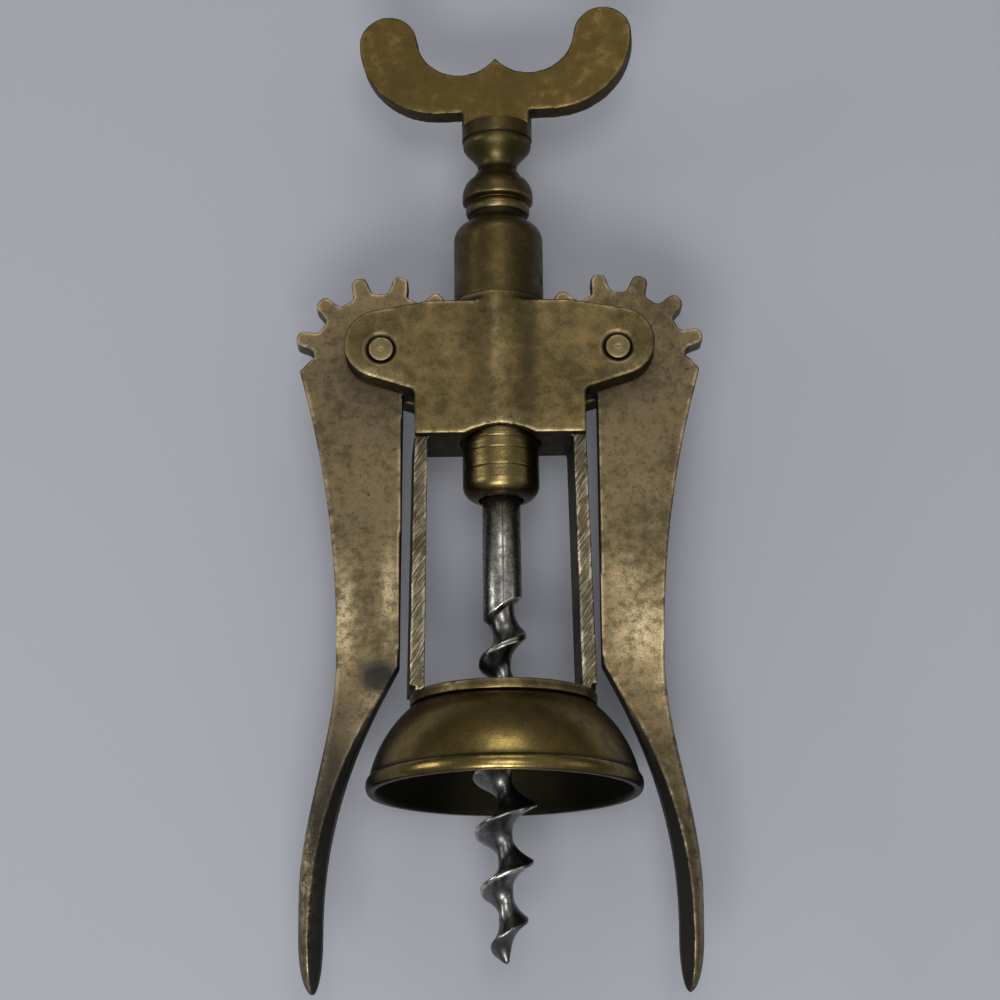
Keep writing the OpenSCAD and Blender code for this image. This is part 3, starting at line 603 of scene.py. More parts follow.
@dataclass(frozen=True)
class AgedMetal:
    """A metal surface with wear: patina, specks, tool marks, bright proud edges and dark hollows, with
    painted shade on flanks and inner faces and painted highlights and shade in spots.
    """

    name: str
    slot: str
    base: Colour
    dark: Colour
    bright: Colour
    # The darkest colour, for specks, pits and dirty creases, and also for the painted shade on flanks, inner
    # faces and shaded spots
    grime_and_shade: Colour
    roughness: float = 0.36
    warm: Colour = (0.3, 0.17, 0.07)
    cloud: float = 0.1
    mottle: float = 0.5
    patina: float = 0.6
    rust: float = 0.25
    speck: float = 0.5
    pit: float = 0.5
    wear: float = 0.5
    hollow: float = 0.9
    # Weight of the painted shade on flanks and inner faces, and of the worm's dark seam
    shade_and_seam: float = 0.8
    grain: float = 0.5
    marks: Marks = Marks.STREAKED
    mark_turn: float = 0.0
    mark_depth: float = 0.0
    mark_tone: float = 0.0

    def material(self) -> bpy.types.Material:
        """Builds the material.

        Returns:
            The finished material.
        """
        g = Graph.of_material(self.name)
        place = g.place()
        cloud = g.noise(place, self.cloud)
        mottle = g.noise(place, self.mottle, 6, 0.66)
        grain = g.noise(place, GRAIN_SCALE, 3)
        patches = (cloud * 0.4 + mottle * 0.45 + grain * 0.15).eased(0.38, 0.62)
        flecks = g.noise(place, FLECK_SCALE).eased(0.55, 0.7) * self.speck
        pits = g.noise(place, PIT_SCALE, 3).eased(0.66, 0.7) * self.pit
        marks = self._marks(g, place)
        proud = g.attribute("wear") * (cloud * 0.6 + mottle * 0.4).eased(0.44, 0.58, 0.08, 1.0) * self.wear
        # Painted highlight: the spots stored on the mesh lighten the surface, partly real wear and partly
        # painted highlights and sheen
        rubbed_and_highlit = g.attribute("wear_and_highlight") * (mottle * 0.6 + grain * 0.4).eased(0.37, 0.63, 0.1, 1.0)
        worn_and_highlit = (proud + rubbed_and_highlit).limited()
        # Painted shade: the side attribute darkens flanks and inner faces, and the dark spots darken parts in
        # shade, together with dirty creases and real stains
        shade_and_dirt = (g.attribute("hollow") * self.hollow + g.attribute("shade_and_seam") * self.shade_and_seam
                + g.attribute("stain_and_shade") * (0.4 + mottle)).limited()
        tone = g.mix(self.base, self.dark, (1 - patches) * self.patina)
        tone = g.mix(tone, self.warm, mottle.eased(0.5, 0.66) * cloud.eased(0.42, 0.6) * self.rust)
        tone = g.mix(tone, self.grime_and_shade, (flecks * 0.75 + pits + (0.5 - marks) * self.mark_tone).limited()
                     * (1 - worn_and_highlit * 0.7))
        tone = g.mix(tone, self.bright, (worn_and_highlit + (marks - 0.55) * self.mark_tone).limited())
        tone = g.mix(tone, self.grime_and_shade, shade_and_dirt * (1 - rubbed_and_highlit.limited() * 0.8))
        shine = (self.roughness + (1 - patches) * 0.1 + flecks * 0.15 + pits * 0.2 + shade_and_dirt * 0.22
                 + (grain - 0.5) * 0.2 - worn_and_highlit * 0.08)
        relief = (grain * self.grain + mottle * self.grain - flecks * 0.25 - pits * 0.9
                  + marks * self.mark_depth)
        bump = g.node("ShaderNodeBump", {}, {"Strength": BUMP_STRENGTH, "Distance": BUMP_DEPTH * MM,
                                             "Height": relief})
        g.feed(g.shader.inputs["Base Color"], tone)
        g.feed(g.shader.inputs["Roughness"], shine.limited())
        g.feed(g.shader.inputs["Metallic"], 1.0)
        g.feed(g.shader.inputs["Normal"], bump)
        return g.owner

    def _marks(self, g: Graph, place: Signal) -> Signal:
        """The tool marks: rings, slanting file strokes or faint streaks.

        Args:
            g: the material's graph.
            place: the point on the surface.

        Returns:
            Fine lines about 0.5.
        """
        if self.marks is Marks.TURNED:
            return g.noise(g.stretched(place, 0, RING_STRETCH), 1.0, rough=0.7)
        if self.marks is Marks.FILED:
            wavy = g.node("ShaderNodeVectorMath", {"operation": "MULTIPLY_ADD"},
                          {0: g.noise(place, WAVE_SCALE, 2, 0.5), 1: WAVE_REACH, 2: place})
            strokes = g.noise(g.stretched(wavy, self.mark_turn, STROKE_STRETCH), 1.0, rough=0.66)
            return strokes.eased(0.32, 0.68)
        return g.noise(g.stretched(place, self.mark_turn, STREAK_STRETCH), 1.0, rough=0.7)


CAST_BRASS = AgedMetal(
    "cast_brass_patina", "cast_brass", base=(0.158, 0.116, 0.048), dark=(0.056, 0.042, 0.018),
    bright=(0.46, 0.37, 0.2), grime_and_shade=(0.02, 0.017, 0.01), patina=0.9, wear=0.4,
    hollow=0.45, mark_turn=88, mark_depth=0.2)
NECK_BRASS = AgedMetal(
    "neck_brass_dark", "turned_brass", base=(0.098, 0.072, 0.028), dark=(0.042, 0.032, 0.015),
    bright=(0.4, 0.31, 0.14), grime_and_shade=(0.014, 0.012, 0.007), roughness=0.34, patina=0.7, speck=0.3,
    pit=0.2, wear=0.4, marks=Marks.TURNED, mark_depth=0.4, mark_tone=0.15)
TURNED_BRASS = AgedMetal(
    "turned_brass_patina", "turned_brass", base=(0.24, 0.18, 0.07), dark=(0.1, 0.075, 0.032),
    bright=(0.72, 0.59, 0.31), grime_and_shade=(0.016, 0.014, 0.008), roughness=0.21, patina=0.7, speck=0.3,
    pit=0.2, marks=Marks.TURNED, mark_depth=1.1, mark_tone=0.4)
PLATE_BRASS = replace(NECK_BRASS, name="plate_brass_dull", slot="bell_brass", base=(0.078, 0.06, 0.026),
                      hollow=0.4)
BELL_BRASS = AgedMetal(
    "bell_brass_gold", "bell_brass", base=(0.23, 0.163, 0.05), dark=(0.082, 0.061, 0.024),
    bright=(0.62, 0.5, 0.24), grime_and_shade=(0.01, 0.01, 0.007), roughness=0.2, patina=0.8, speck=0.2,
    pit=0.2, wear=0.2, hollow=0.55, shade_and_seam=0.97, grain=0.2, marks=Marks.TURNED, mark_depth=0.3,
    mark_tone=0.1)
HANDLE_BRASS = AgedMetal(
    "handle_brass_olive", "handle_brass", base=(0.098, 0.067, 0.02), dark=(0.07, 0.05, 0.017),
    bright=(0.28, 0.21, 0.085), grime_and_shade=(0.03, 0.022, 0.01), roughness=0.42, patina=0.7, speck=0.12,
    pit=0.1, wear=0.3, shade_and_seam=0.6, grain=0.25, mark_turn=60, mark_depth=0.1)
LEVER_BRONZE = AgedMetal(
    "lever_bronze_pitted", "lever_bronze", base=(0.195, 0.145, 0.074), dark=(0.066, 0.05, 0.026),
    bright=(0.72, 0.57, 0.34), grime_and_shade=(0.036, 0.034, 0.03), warm=(0.165, 0.086, 0.04), mottle=0.65,
    grain=0.75, patina=0.9, rust=0.75, speck=0.7, pit=0.7, wear=0.4, shade_and_seam=0.88, mark_turn=100,
    mark_depth=0.2)
FILED_BRASS = AgedMetal(
    "strut_brass_filed", "filed_brass", base=(0.195, 0.158, 0.094), dark=(0.066, 0.053, 0.03),
    bright=(0.8, 0.71, 0.51), grime_and_shade=(0.022, 0.019, 0.013), roughness=0.3, cloud=0.16, mottle=0.4,
    patina=0.85, pit=0.35, shade_and_seam=0.85, marks=Marks.FILED, mark_turn=-56, mark_depth=1.8, mark_tone=0.9)
PIN_METAL = AgedMetal(
    "pin_metal_dark", "pin_metal", base=(0.15, 0.115, 0.055), dark=(0.085, 0.065, 0.034),
    bright=(0.34, 0.28, 0.17), grime_and_shade=(0.014, 0.012, 0.008), roughness=0.42, speck=0.4, shade_and_seam=0.9,
    mark_turn=40, mark_depth=0.3)
DARK_PIN = AgedMetal(
    "neck_pin_dark", "pin_metal", base=(0.035, 0.03, 0.022), dark=(0.018, 0.016, 0.012),
    bright=(0.1, 0.085, 0.06), grime_and_shade=(0.01, 0.009, 0.007), roughness=0.5)
WORM_STEEL = AgedMetal(
    "worm_steel_grey", "screw_steel", base=(0.185, 0.188, 0.186), dark=(0.07, 0.066, 0.061),
    bright=(0.74, 0.7, 0.6), grime_and_shade=(0.035, 0.026, 0.016), warm=(0.24, 0.16, 0.08), roughness=0.25,
    cloud=0.12, mottle=0.9, patina=0.7, rust=0.4, speck=0.7, pit=0.35, wear=0.75, grain=0.3,
    marks=Marks.TURNED, mark_depth=0.3, mark_tone=0.15)
HIDDEN_STEEL = AgedMetal(
    "keeper_steel", "hidden_steel", base=(0.3, 0.3, 0.3), dark=(0.16, 0.15, 0.14),
    bright=(0.6, 0.6, 0.58), grime_and_shade=(0.06, 0.05, 0.04), roughness=0.35)


class Finisher:
    """Makes each finish once and dresses pieces with it."""

    def __init__(self) -> None:
        """Starts with no material made."""
        self.made: dict[str, bpy.types.Material] = {}

    def dress(self, piece: Piece, finish: AgedMetal) -> None:
        """Gives a piece its finish, as its only material.

        Args:
            piece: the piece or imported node.
            finish: the finish.
        """
        if finish.name not in self.made:
            self.made[finish.name] = finish.material()
        piece.data.materials.clear()
        piece.data.materials.append(self.made[finish.name])

    def fit(self, piece: Piece, finish: AgedMetal, body: str, *nodes: str) -> None:
        """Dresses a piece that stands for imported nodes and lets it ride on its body.

        Args:
            piece: the piece.
            finish: its finish.
            body: the body that carries it.
            nodes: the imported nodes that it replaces.
        """
        self.dress(piece, finish)
        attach(piece, body)
        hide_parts(*nodes)
        LOG.info("%s: %d faces on %s", piece.name, len(piece.data.polygons), body)


@dataclass
class SubAssembly:
    """Pieces that belong together, dressed by one finisher."""

    finisher: Finisher

    def build(self) -> None:
        """Makes the pieces."""
        raise NotImplementedError


# ---- cast pieces ----


# Spots lightened by wear and painted highlights, or with a negative strength darkened by stains and painted
# shade: x, z, reach along x and z, strength
Spots = tuple[tuple[float, float, float, float, float], ...]
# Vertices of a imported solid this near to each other, in millimetres, are joined
WELD_REACH = 1e-4


@dataclass
class Casting(SubAssembly):
    """A cast piece with soft worn edges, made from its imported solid."""

    node: str
    body: str
    finish: AgedMetal
    name: str
    grid: float = 0.28
    rounds: int = 3
    spots: Spots = ()
    inner: int = 0

    def build(self) -> None:
        """Makes the piece."""
        piece = self._even_copy()
        soften(piece.data, self.rounds)
        piece.data.transform(Matrix.Scale(MM, 4))
        piece.data.shade_smooth()
        mark_wear(piece)
        mark_sides(piece, self.inner)
        self._mark_spots(piece)
        self.finisher.fit(piece, self.finish, self.body, self.node)

    def _even_copy(self) -> Piece:
        """Copies the solid as an even mesh.

        Returns:
            The copy, in millimetres of the frame.
        """
        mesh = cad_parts[self.node].data.copy()
        mesh.transform(Matrix.Scale(1 / MM, 4))
        source = linked(self.name + "_source", mesh)
        source.modifiers.new("weld", "WELD").merge_threshold = WELD_REACH
        remesh = source.modifiers.new("even", "REMESH")
        remesh.mode = "VOXEL"
        remesh.voxel_size = self.grid
        bpy.context.view_layer.update()
        seen = source.evaluated_get(bpy.context.evaluated_depsgraph_get())
        even = bpy.data.meshes.new_from_object(seen)
        even.name = self.name
        bpy.data.objects.remove(source)
        bpy.data.meshes.remove(mesh)
        return linked(self.name, even)

    def _mark_spots(self, piece: Piece) -> None:
        """Stores how much each vertex is lightened by wear and painted highlights, and darkened by stains and
        painted shade.

        Args:
            piece: the piece, in metres.
        """
        across, _, along = upright(coordinates(piece.data)).T
        wear_and_highlight, stain_and_shade = np.zeros(len(along)), np.zeros(len(along))
        for x, z, reach_x, reach_z, strength in self.spots:
            mark = strength * np.exp(-((across - x) / reach_x) ** 2 - ((along - z) / reach_z) ** 2)
            np.maximum(wear_and_highlight, mark, out=wear_and_highlight)
            np.maximum(stain_and_shade, -mark, out=stain_and_shade)
        store(piece.data, "wear_and_highlight", wear_and_highlight)
        store(piece.data, "stain_and_shade", stain_and_shade)


@dataclass
class Levers(SubAssembly):
    """The two geared levers, with spots whose x is the distance from the axis."""

    grid: float = 0.26
    # Bright spots are worn patches and, along the grips' ridges, painted highlights; dark spots are stains
    # and painted shade, most on the left lever's lower part and the levers' tops under the housing
    both: Spots = ((30.0, 17, 1.6, 11, 0.9), (27.8, 33, 1.3, 9, 0.35), (29, 18, 7, 17, -0.42),
                   (23, 92, 9, 14, -0.26), (20, 73, 7, 8, -0.08))
    left: Spots = ((24.4, 57, 1.6, 7, 0.6), (17.4, 61, 1.2, 6, 0.55), (19.4, 44.6, 2.4, 1.8, 0.45),
                   (22.0, 40.0, 3.0, 3.0, 0.2), (18.9, 47.3, 3.2, 3.0, -1.5), (28, 24, 9, 19, -1.15),
                   (22, 92, 10, 10, -0.38), (21, 72, 9, 9, -0.24), (26, 41, 7, 5, -0.6))
    right: Spots = ((21.6, 54.6, 4.2, 5.5, 0.55), (19.0, 62, 3.0, 4.0, 0.3), (24.5, 47, 2.2, 5, 0.3))

    def build(self) -> None:
        """Makes both levers."""
        for side, name, own in ((-1, "left", self.left), (1, "right", self.right)):
            spots = tuple((side * x, *rest) for x, *rest in self.both + own)
            Casting(self.finisher, f"{name}_lever", f"{name}_lever", LEVER_BRONZE, f"lever_{name}_cast",
                    self.grid, spots=spots, inner=side).build()


@dataclass
class Housing(SubAssembly):
    """The cast housing, its two struts and the hammered pivot pins."""

    strut_grid: float = 0.2
    head_r: float = 1.98
    head_depth: float = 0.65
    head_dome: float = 0.1
    head_flat_r: float = 0.9
    head_edge: float = 0.16
    # Bright spots: the arch's and ears' lower edges, worn and with painted highlights, and a painted
    # highlight streak down the barrel; dark spots: painted shade on both flanks of the barrel, and darker
    # patches over the ears and elsewhere
    spots: Spots = ((0, 86, 4, 1.4, 0.6), (-21, 94.6, 4, 1.1, 0.6), (22.5, 95.5, 2.5, 1.2, 0.35),
                    (-0.6, 99, 0.8, 12, 0.24), (4.4, 99, 1.8, 12, -0.7), (-10, 89, 6, 3, -0.1),
                    (11, 105, 7, 2.5, -0.14), (-22, 100, 6, 6, -0.5), (22, 100, 6, 6, -0.45),
                    (-3.4, 100, 2.4, 12, -0.4))

    def build(self) -> None:
        """Makes the housing, the struts and the pins."""
        Casting(self.finisher, "housing", "frame", CAST_BRASS, "housing_cast", spots=self.spots).build()
        for side in ("left", "right"):
            Casting(self.finisher, f"{side}_strut", "frame", FILED_BRASS, f"strut_{side}_filed",
                    self.strut_grid, 2, self._strut_stains_and_shade(side)).build()
            self._pin(side)

    def _strut_stains_and_shade(self, side: str) -> Spots:
        """Dull patches on a strut, with painted shade darkest under the housing.

        Args:
            side: left or right.

        Returns:
            The patches.
        """
        box = Extent.of(f"{side}_strut")
        x = float(box.middle[0])
        return (x, box.z1, 6, 5, -0.55), (x, box.z0 + 14, 6, 4, -0.2)

    def _pin(self, side: str) -> None:
        """Makes a pivot pin, whose two ends are hammered out into their countersinks.

        Args:
            side: left or right.
        """
        box = Extent.of(f"{side}_pivot_pin")
        _, half, radius = box.half
        corners = ((AXIS_R, half, 0), (self.head_flat_r, half - 0.02, 0),
                   (self.head_r, half - self.head_dome, self.head_edge),
                   (radius, half - self.head_depth, 0.1))
        face = Outline()
        for end in (-1, 1):
            for out, level, rounding in corners[::-end]:
                face.to(out, end * level, rounding)
        points, faces = revolve(face.loop(0.3), 96)
        pin = mesh_object(f"pivot_pin_{side}_peened", points[:, [0, 2, 1]] + box.middle, faces)
        mark_wear(pin)
        self.finisher.fit(pin, PIN_METAL, "frame", f"{side}_pivot_pin")


# ---- turned pieces ----


@dataclass
class TurnedPiece(SubAssembly):
    """A piece turned on the lathe, given by its outline.

    The outline's straight runs are divided to the spacing, and sides is the share of painted shade on the
    flanks.
    """

    node: str
    body: str
    finish: AgedMetal
    name: str
    outline: Outline
    segments: int = 144
    flank_shade: float = 0.4
    spacing: float = 0.4

    def build(self) -> None:
        """Makes the piece."""
        points, faces = revolve(self.outline.loop(self.spacing), self.segments)
        piece = mesh_object(self.name, points, faces)
        mark_wear(piece, 3)
        mark_inside(piece, self.flank_shade)
        self.finisher.fit(piece, self.finish, self.body, self.node)


@dataclass
class Neck(SubAssembly):
    """The sleeve on the housing's boss, and the pin that locks it."""

    bore_r: float = 5.84
    recess_r: float = 6.46
    recess_h: float = 5.02
    shoulder_r: float = 3.0
    land: float = 0.2
    lip: float = 0.12
    pin_r: float = 0.6
    pin_turn: float = 19.0
    pin_rise: float = 3.0
    pin_proud: float = 0.02

    def build(self) -> None:
        """Makes the sleeve and its pin."""
        box = Extent.of("neck_sleeve")
        centre_r = box.radius - self.shoulder_r
        reach = self.bore_r + self.land - centre_r
        centre_z = box.z1 - math.sqrt(self.shoulder_r ** 2 - reach ** 2)
        end = math.degrees(math.acos(reach / self.shoulder_r))
        line = Outline().to(self.recess_r, box.z0).to(box.radius, box.z0 - self.lip, 0.05)
        line.arc((centre_r, centre_z), self.shoulder_r, 0, end)
        line.to(self.bore_r, box.z1, 0.08).to(self.bore_r, box.z0 + self.recess_h)
        line.to(self.recess_r, box.z0 + self.recess_h)
        TurnedPiece(self.finisher, "neck_sleeve", "frame", NECK_BRASS, "neck_sleeve_turned", line).build()
        self._pin(box)

    def _pin(self, sleeve: Extent) -> None:
        """Makes the small pin, filed nearly flush with the sleeve.

        Args:
            sleeve: the sleeve's box.
        """
        inner_end, face = self.bore_r + 0.1, sleeve.radius + self.pin_proud
        rod = Outline().to(AXIS_R, inner_end).to(self.pin_r, inner_end)
        rod.to(self.pin_r, face, 0.08).to(AXIS_R, sleeve.radius + 1.5 * self.pin_proud)
        points, faces = revolve(rod.loop(0.2), 40)
        turn = math.radians(self.pin_turn)
        across, up, along = points.T
        placed = np.column_stack((along * math.cos(turn) - across * math.sin(turn),
                                  -along * math.sin(turn) - across * math.cos(turn),
                                  up + sleeve.z0 + self.pin_rise))
        pin = mesh_object("neck_pin_filed", placed, faces)
        mark_wear(pin)
        self.finisher.fit(pin, DARK_PIN, "frame", "neck_pin")


@dataclass
class Bell(SubAssembly):
    """The bell and the plate above it."""

    wall: float = 1.25
    seam_h: float = 0.35
    seam_d: float = 0.6
    dome_r: float = 20.5
    dome_arc_r: float = 19.2
    bead_h: float = 2.3
    hole_r: float = 6.5
    lip_in_r: float = 11.0
    lip_drop: float = 4.5
    lip_recess: float = 2.0
    segments: int = 192

    def build(self) -> None:
        """Makes the plate and the bell."""
        plate, bell = Extent.of("bell_plate"), Extent.of("bell")
        disc = Outline().to(self.hole_r, plate.z0, 0.12).to(plate.radius, plate.z0, 0.22)
        disc.to(plate.radius, plate.z1, 0.3).to(self.hole_r, plate.z1, 0.15)
        TurnedPiece(self.finisher, "bell_plate", "frame", PLATE_BRASS, "bell_plate_turned", disc,
                    self.segments).build()
        dome = self._dome(plate, bell)
        TurnedPiece(self.finisher, "bell", "frame", BELL_BRASS, "bell_spun", dome, self.segments, 1.0).build()

    def _dome(self, plate: Extent, bell: Extent) -> Outline:
        """The bell's outline.

        Args:
            plate: the box of the plate above it.
            bell: its own box.

        Returns:
            The closed outline.
        """
        top, rim, bead_r = plate.z0, bell.z0, bell.radius
        neck, shoulder_r, shoulder = rim + self.bead_h, plate.radius - 0.1, top - self.seam_h
        run, rise = self.dome_r - shoulder_r, neck - shoulder
        chord = math.atan2(rise, run)
        sag = math.sqrt(self.dome_arc_r ** 2 - (run * run + rise * rise) / 4)
        centre_r = (self.dome_r + shoulder_r) / 2 + sag * math.sin(chord)
        centre_z = (shoulder + neck) / 2 - sag * math.cos(chord)
        first = math.degrees(math.atan2(shoulder - centre_z, shoulder_r - centre_r))
        last = math.degrees(math.atan2(neck - centre_z, self.dome_r - centre_r))
        inner_r, seat = self.dome_arc_r - self.wall, top - self.lip_drop
        mouth_a = math.degrees(math.asin((rim + 0.5 - centre_z) / inner_r))
        seat_a = math.degrees(math.asin((seat - centre_z) / inner_r))
        bulge, half = bead_r - self.dome_r, self.bead_h / 2
        seam_r = plate.radius - self.seam_d
        line = Outline().to(self.hole_r, top).to(seam_r, top).to(seam_r, shoulder)
        line.arc((centre_r, centre_z), self.dome_arc_r, first, last, 40)
        line.arc((self.dome_r, rim + half), bulge, 84, -72, 16, half / bulge)
        line.to(self.dome_r + bulge * 0.3, rim, 0.2).to(bead_r - self.wall - 0.05, rim, 0.25)
        line.arc((centre_r, centre_z), inner_r, mouth_a, seat_a, 26)
        line.to(self.lip_in_r, seat, 0.2).to(self.lip_in_r, seat + self.lip_recess, 0.2)
        return line.to(self.hole_r, seat + self.lip_recess, 0.2)


@dataclass
class Rack(SubAssembly):
    """The ringed rack, which slides in the housing, and its end cap."""

    rack_r: float = 5.78
    groove_r: float = 3.85
    ring_w: float = 3.0
    ring_foot_w: float = 3.4
    pitch: float = math.radians(29.1) * 13.2
    first_groove: float = 98.8 - math.radians(10.1) * 13.2
    bore_r: float = 3.06
    cavity_r: float = 4.6
    cavity_h: float = 4.4
    skirt_h: float = 6.1
    cap_round: float = 2.4
    cap_hole_r: float = 3.55
    spigot_wall: float = 0.7
    line_drops: tuple[float, float] = (3.3, 1.5)
    line_half_w: float = 0.14
    line_depth: float = 0.08
    end_margin: float = 0.8

    def build(self) -> None:
        """Makes the rack and its cap."""
        rack, cap = Extent.of("rack"), Extent.of("rack_end_cap")
        TurnedPiece(self.finisher, "rack", "rack", TURNED_BRASS, "rack_ringed", self._rings(rack)).build()
        TurnedPiece(self.finisher, "rack_end_cap", "rack", TURNED_BRASS, "rack_end_cap_turned",
                    self._cap(cap, rack.z0), flank_shade=0.75).build()

    def _rings(self, box: Extent) -> Outline:
        """The rack, with fine lines on its skirt and a groove for every tooth above it.

        Args:
            box: its box.

        Returns:
            The closed outline.
        """
        skirt_z1 = box.z0 + self.skirt_h
        land, foot = (self.pitch - self.ring_w) / 2, (self.pitch - self.ring_foot_w) / 2
        line = Outline().to(self.bore_r, box.z0 + self.cavity_h)
        line.to(self.cavity_r, box.z0 + self.cavity_h).to(self.cavity_r, box.z0, 0.08)
        line.to(box.radius, box.z0, 0.16)
        for drop in self.line_drops:
            level = skirt_z1 - drop
            for step, depth in ((-self.line_half_w, 0), (0, self.line_depth), (self.line_half_w, 0)):
                line.to(box.radius - depth, level + step, 0.05)
        line.to(box.radius, skirt_z1, 0.25).to(self.rack_r, skirt_z1)
        first = math.ceil((skirt_z1 + self.end_margin + land - self.first_groove) / self.pitch)
        last = math.floor((box.z1 - self.end_margin - land - self.first_groove) / self.pitch)
        for k in range(first, last + 1):
            level = self.first_groove + k * self.pitch
            line.to(self.rack_r, level - land, 0.3).to(self.groove_r, level - foot, 0.45)
            line.to(self.groove_r, level + foot, 0.45).to(self.rack_r, level + land, 0.3)
        return line.to(self.rack_r, box.z1, 0.15).to(self.bore_r, box.z1)

    def _cap(self, box: Extent, joint: float) -> Outline:
        """The end cap, a cup with a rounded lower edge.

        Args:
            box: its box.
            joint: level of its joint with the rack.

        Returns:
            The closed outline.
        """
        spigot_r = self.cavity_r - 0.02
        line = Outline().to(self.cap_hole_r, box.z0, 0.2)
        line.to(box.radius - self.cap_round, box.z0)
        line.arc((box.radius - self.cap_round, box.z0 + self.cap_round), self.cap_round, -75, 0)
        line.to(box.radius, joint, 0.16).to(spigot_r, joint)
        line.to(spigot_r, box.z1, 0.1).to(spigot_r - self.spigot_wall, box.z1, 0.1)
        shelf = (box.z0 + joint) / 2
        return line.to(spigot_r - self.spigot_wall, shelf).to(self.cap_hole_r, shelf)


@dataclass
class Stem(SubAssembly):
    """The turned stem between the neck and the handle."""

    ring_r: float = 5.68
    neck_r: float = 3.1
    spigot_r: float = 5.74
    pinch_r: float = 4.48
    bead_r: float = 5.13
    socket_r: float = 3.02
    socket_h: float = 8.6
    tang_r: float = 2.22
    tang_h: float = 5.22
    pinch_h: float = 1.6
    bead_h: float = 1.4
    ring_gap_h: float = 1.3
    ring_h: float = 5.4
    vase_h: float = 5.4
    vase_full: float = 0.85
    bead_high: float = 0.72
    ring_power: float = 0.75
    vase_power: float = 1.25
    vase_foot: float = 0.08

    def build(self) -> None:
        """Makes the stem."""
        box, sleeve_z = Extent.of("stem"), Extent.of("neck_sleeve").z1
        socket_z = box.z0 + self.socket_h
        pinch_z = sleeve_z + self.pinch_h
        bead_z = pinch_z + self.bead_h
        ring_z = bead_z + self.ring_gap_h
        neck_z = ring_z + self.ring_h
        collar_z = neck_z + self.vase_h
        collar_r = min(box.radius, self.ring_r - 0.03)
        bead_foot_r = self.pinch_r - 0.1
        line = Outline().to(AXIS_R, socket_z).to(self.socket_r, socket_z)
        line.to(self.socket_r, box.z0).to(self.spigot_r, box.z0, 0.1)
        line.to(self.spigot_r, sleeve_z, 0.3)
        line.to((self.spigot_r + self.pinch_r) / 2, sleeve_z + 0.45 * self.pinch_h, 0.4)
        line.to(self.pinch_r, pinch_z - 0.3, 0.4)
        line.arc((bead_foot_r, bead_z), self.bead_r - bead_foot_r, -70, 60, 12,
                    self.bead_high * self.bead_h / (self.bead_r - bead_foot_r))
        line.to(2 * self.pinch_r - bead_foot_r, ring_z - 0.1, 0.15)
        ring_foot_r = self.neck_r + 0.1
        for angle in np.radians(np.linspace(-12, 74, 16)):
            line.to(ring_foot_r + (self.ring_r - ring_foot_r) * math.cos(angle) ** self.ring_power,
                       ring_z + self.ring_h * (0.173 + 0.6 * math.sin(angle)))
        for t in np.linspace(0, 1, 24):
            eased = float(smoothstep(min(1.0, t / self.vase_full) ** self.vase_power, 0, 1))
            line.to(self.neck_r + (collar_r - 0.15 - self.neck_r) * eased,
                       neck_z + (collar_z - neck_z) * (self.vase_foot + (1 - self.vase_foot) * t))
        line.to(collar_r, collar_z + 0.14, 0.12).to(collar_r, box.z1, 0.1)
        line.to(self.tang_r, box.z1).to(self.tang_r, box.z1 - self.tang_h)
        line.to(AXIS_R, box.z1 - self.tang_h)
        TurnedPiece(self.finisher, "stem", "screw", NECK_BRASS, "stem_turned", line, spacing=0.3).build()


# ---- screw ----


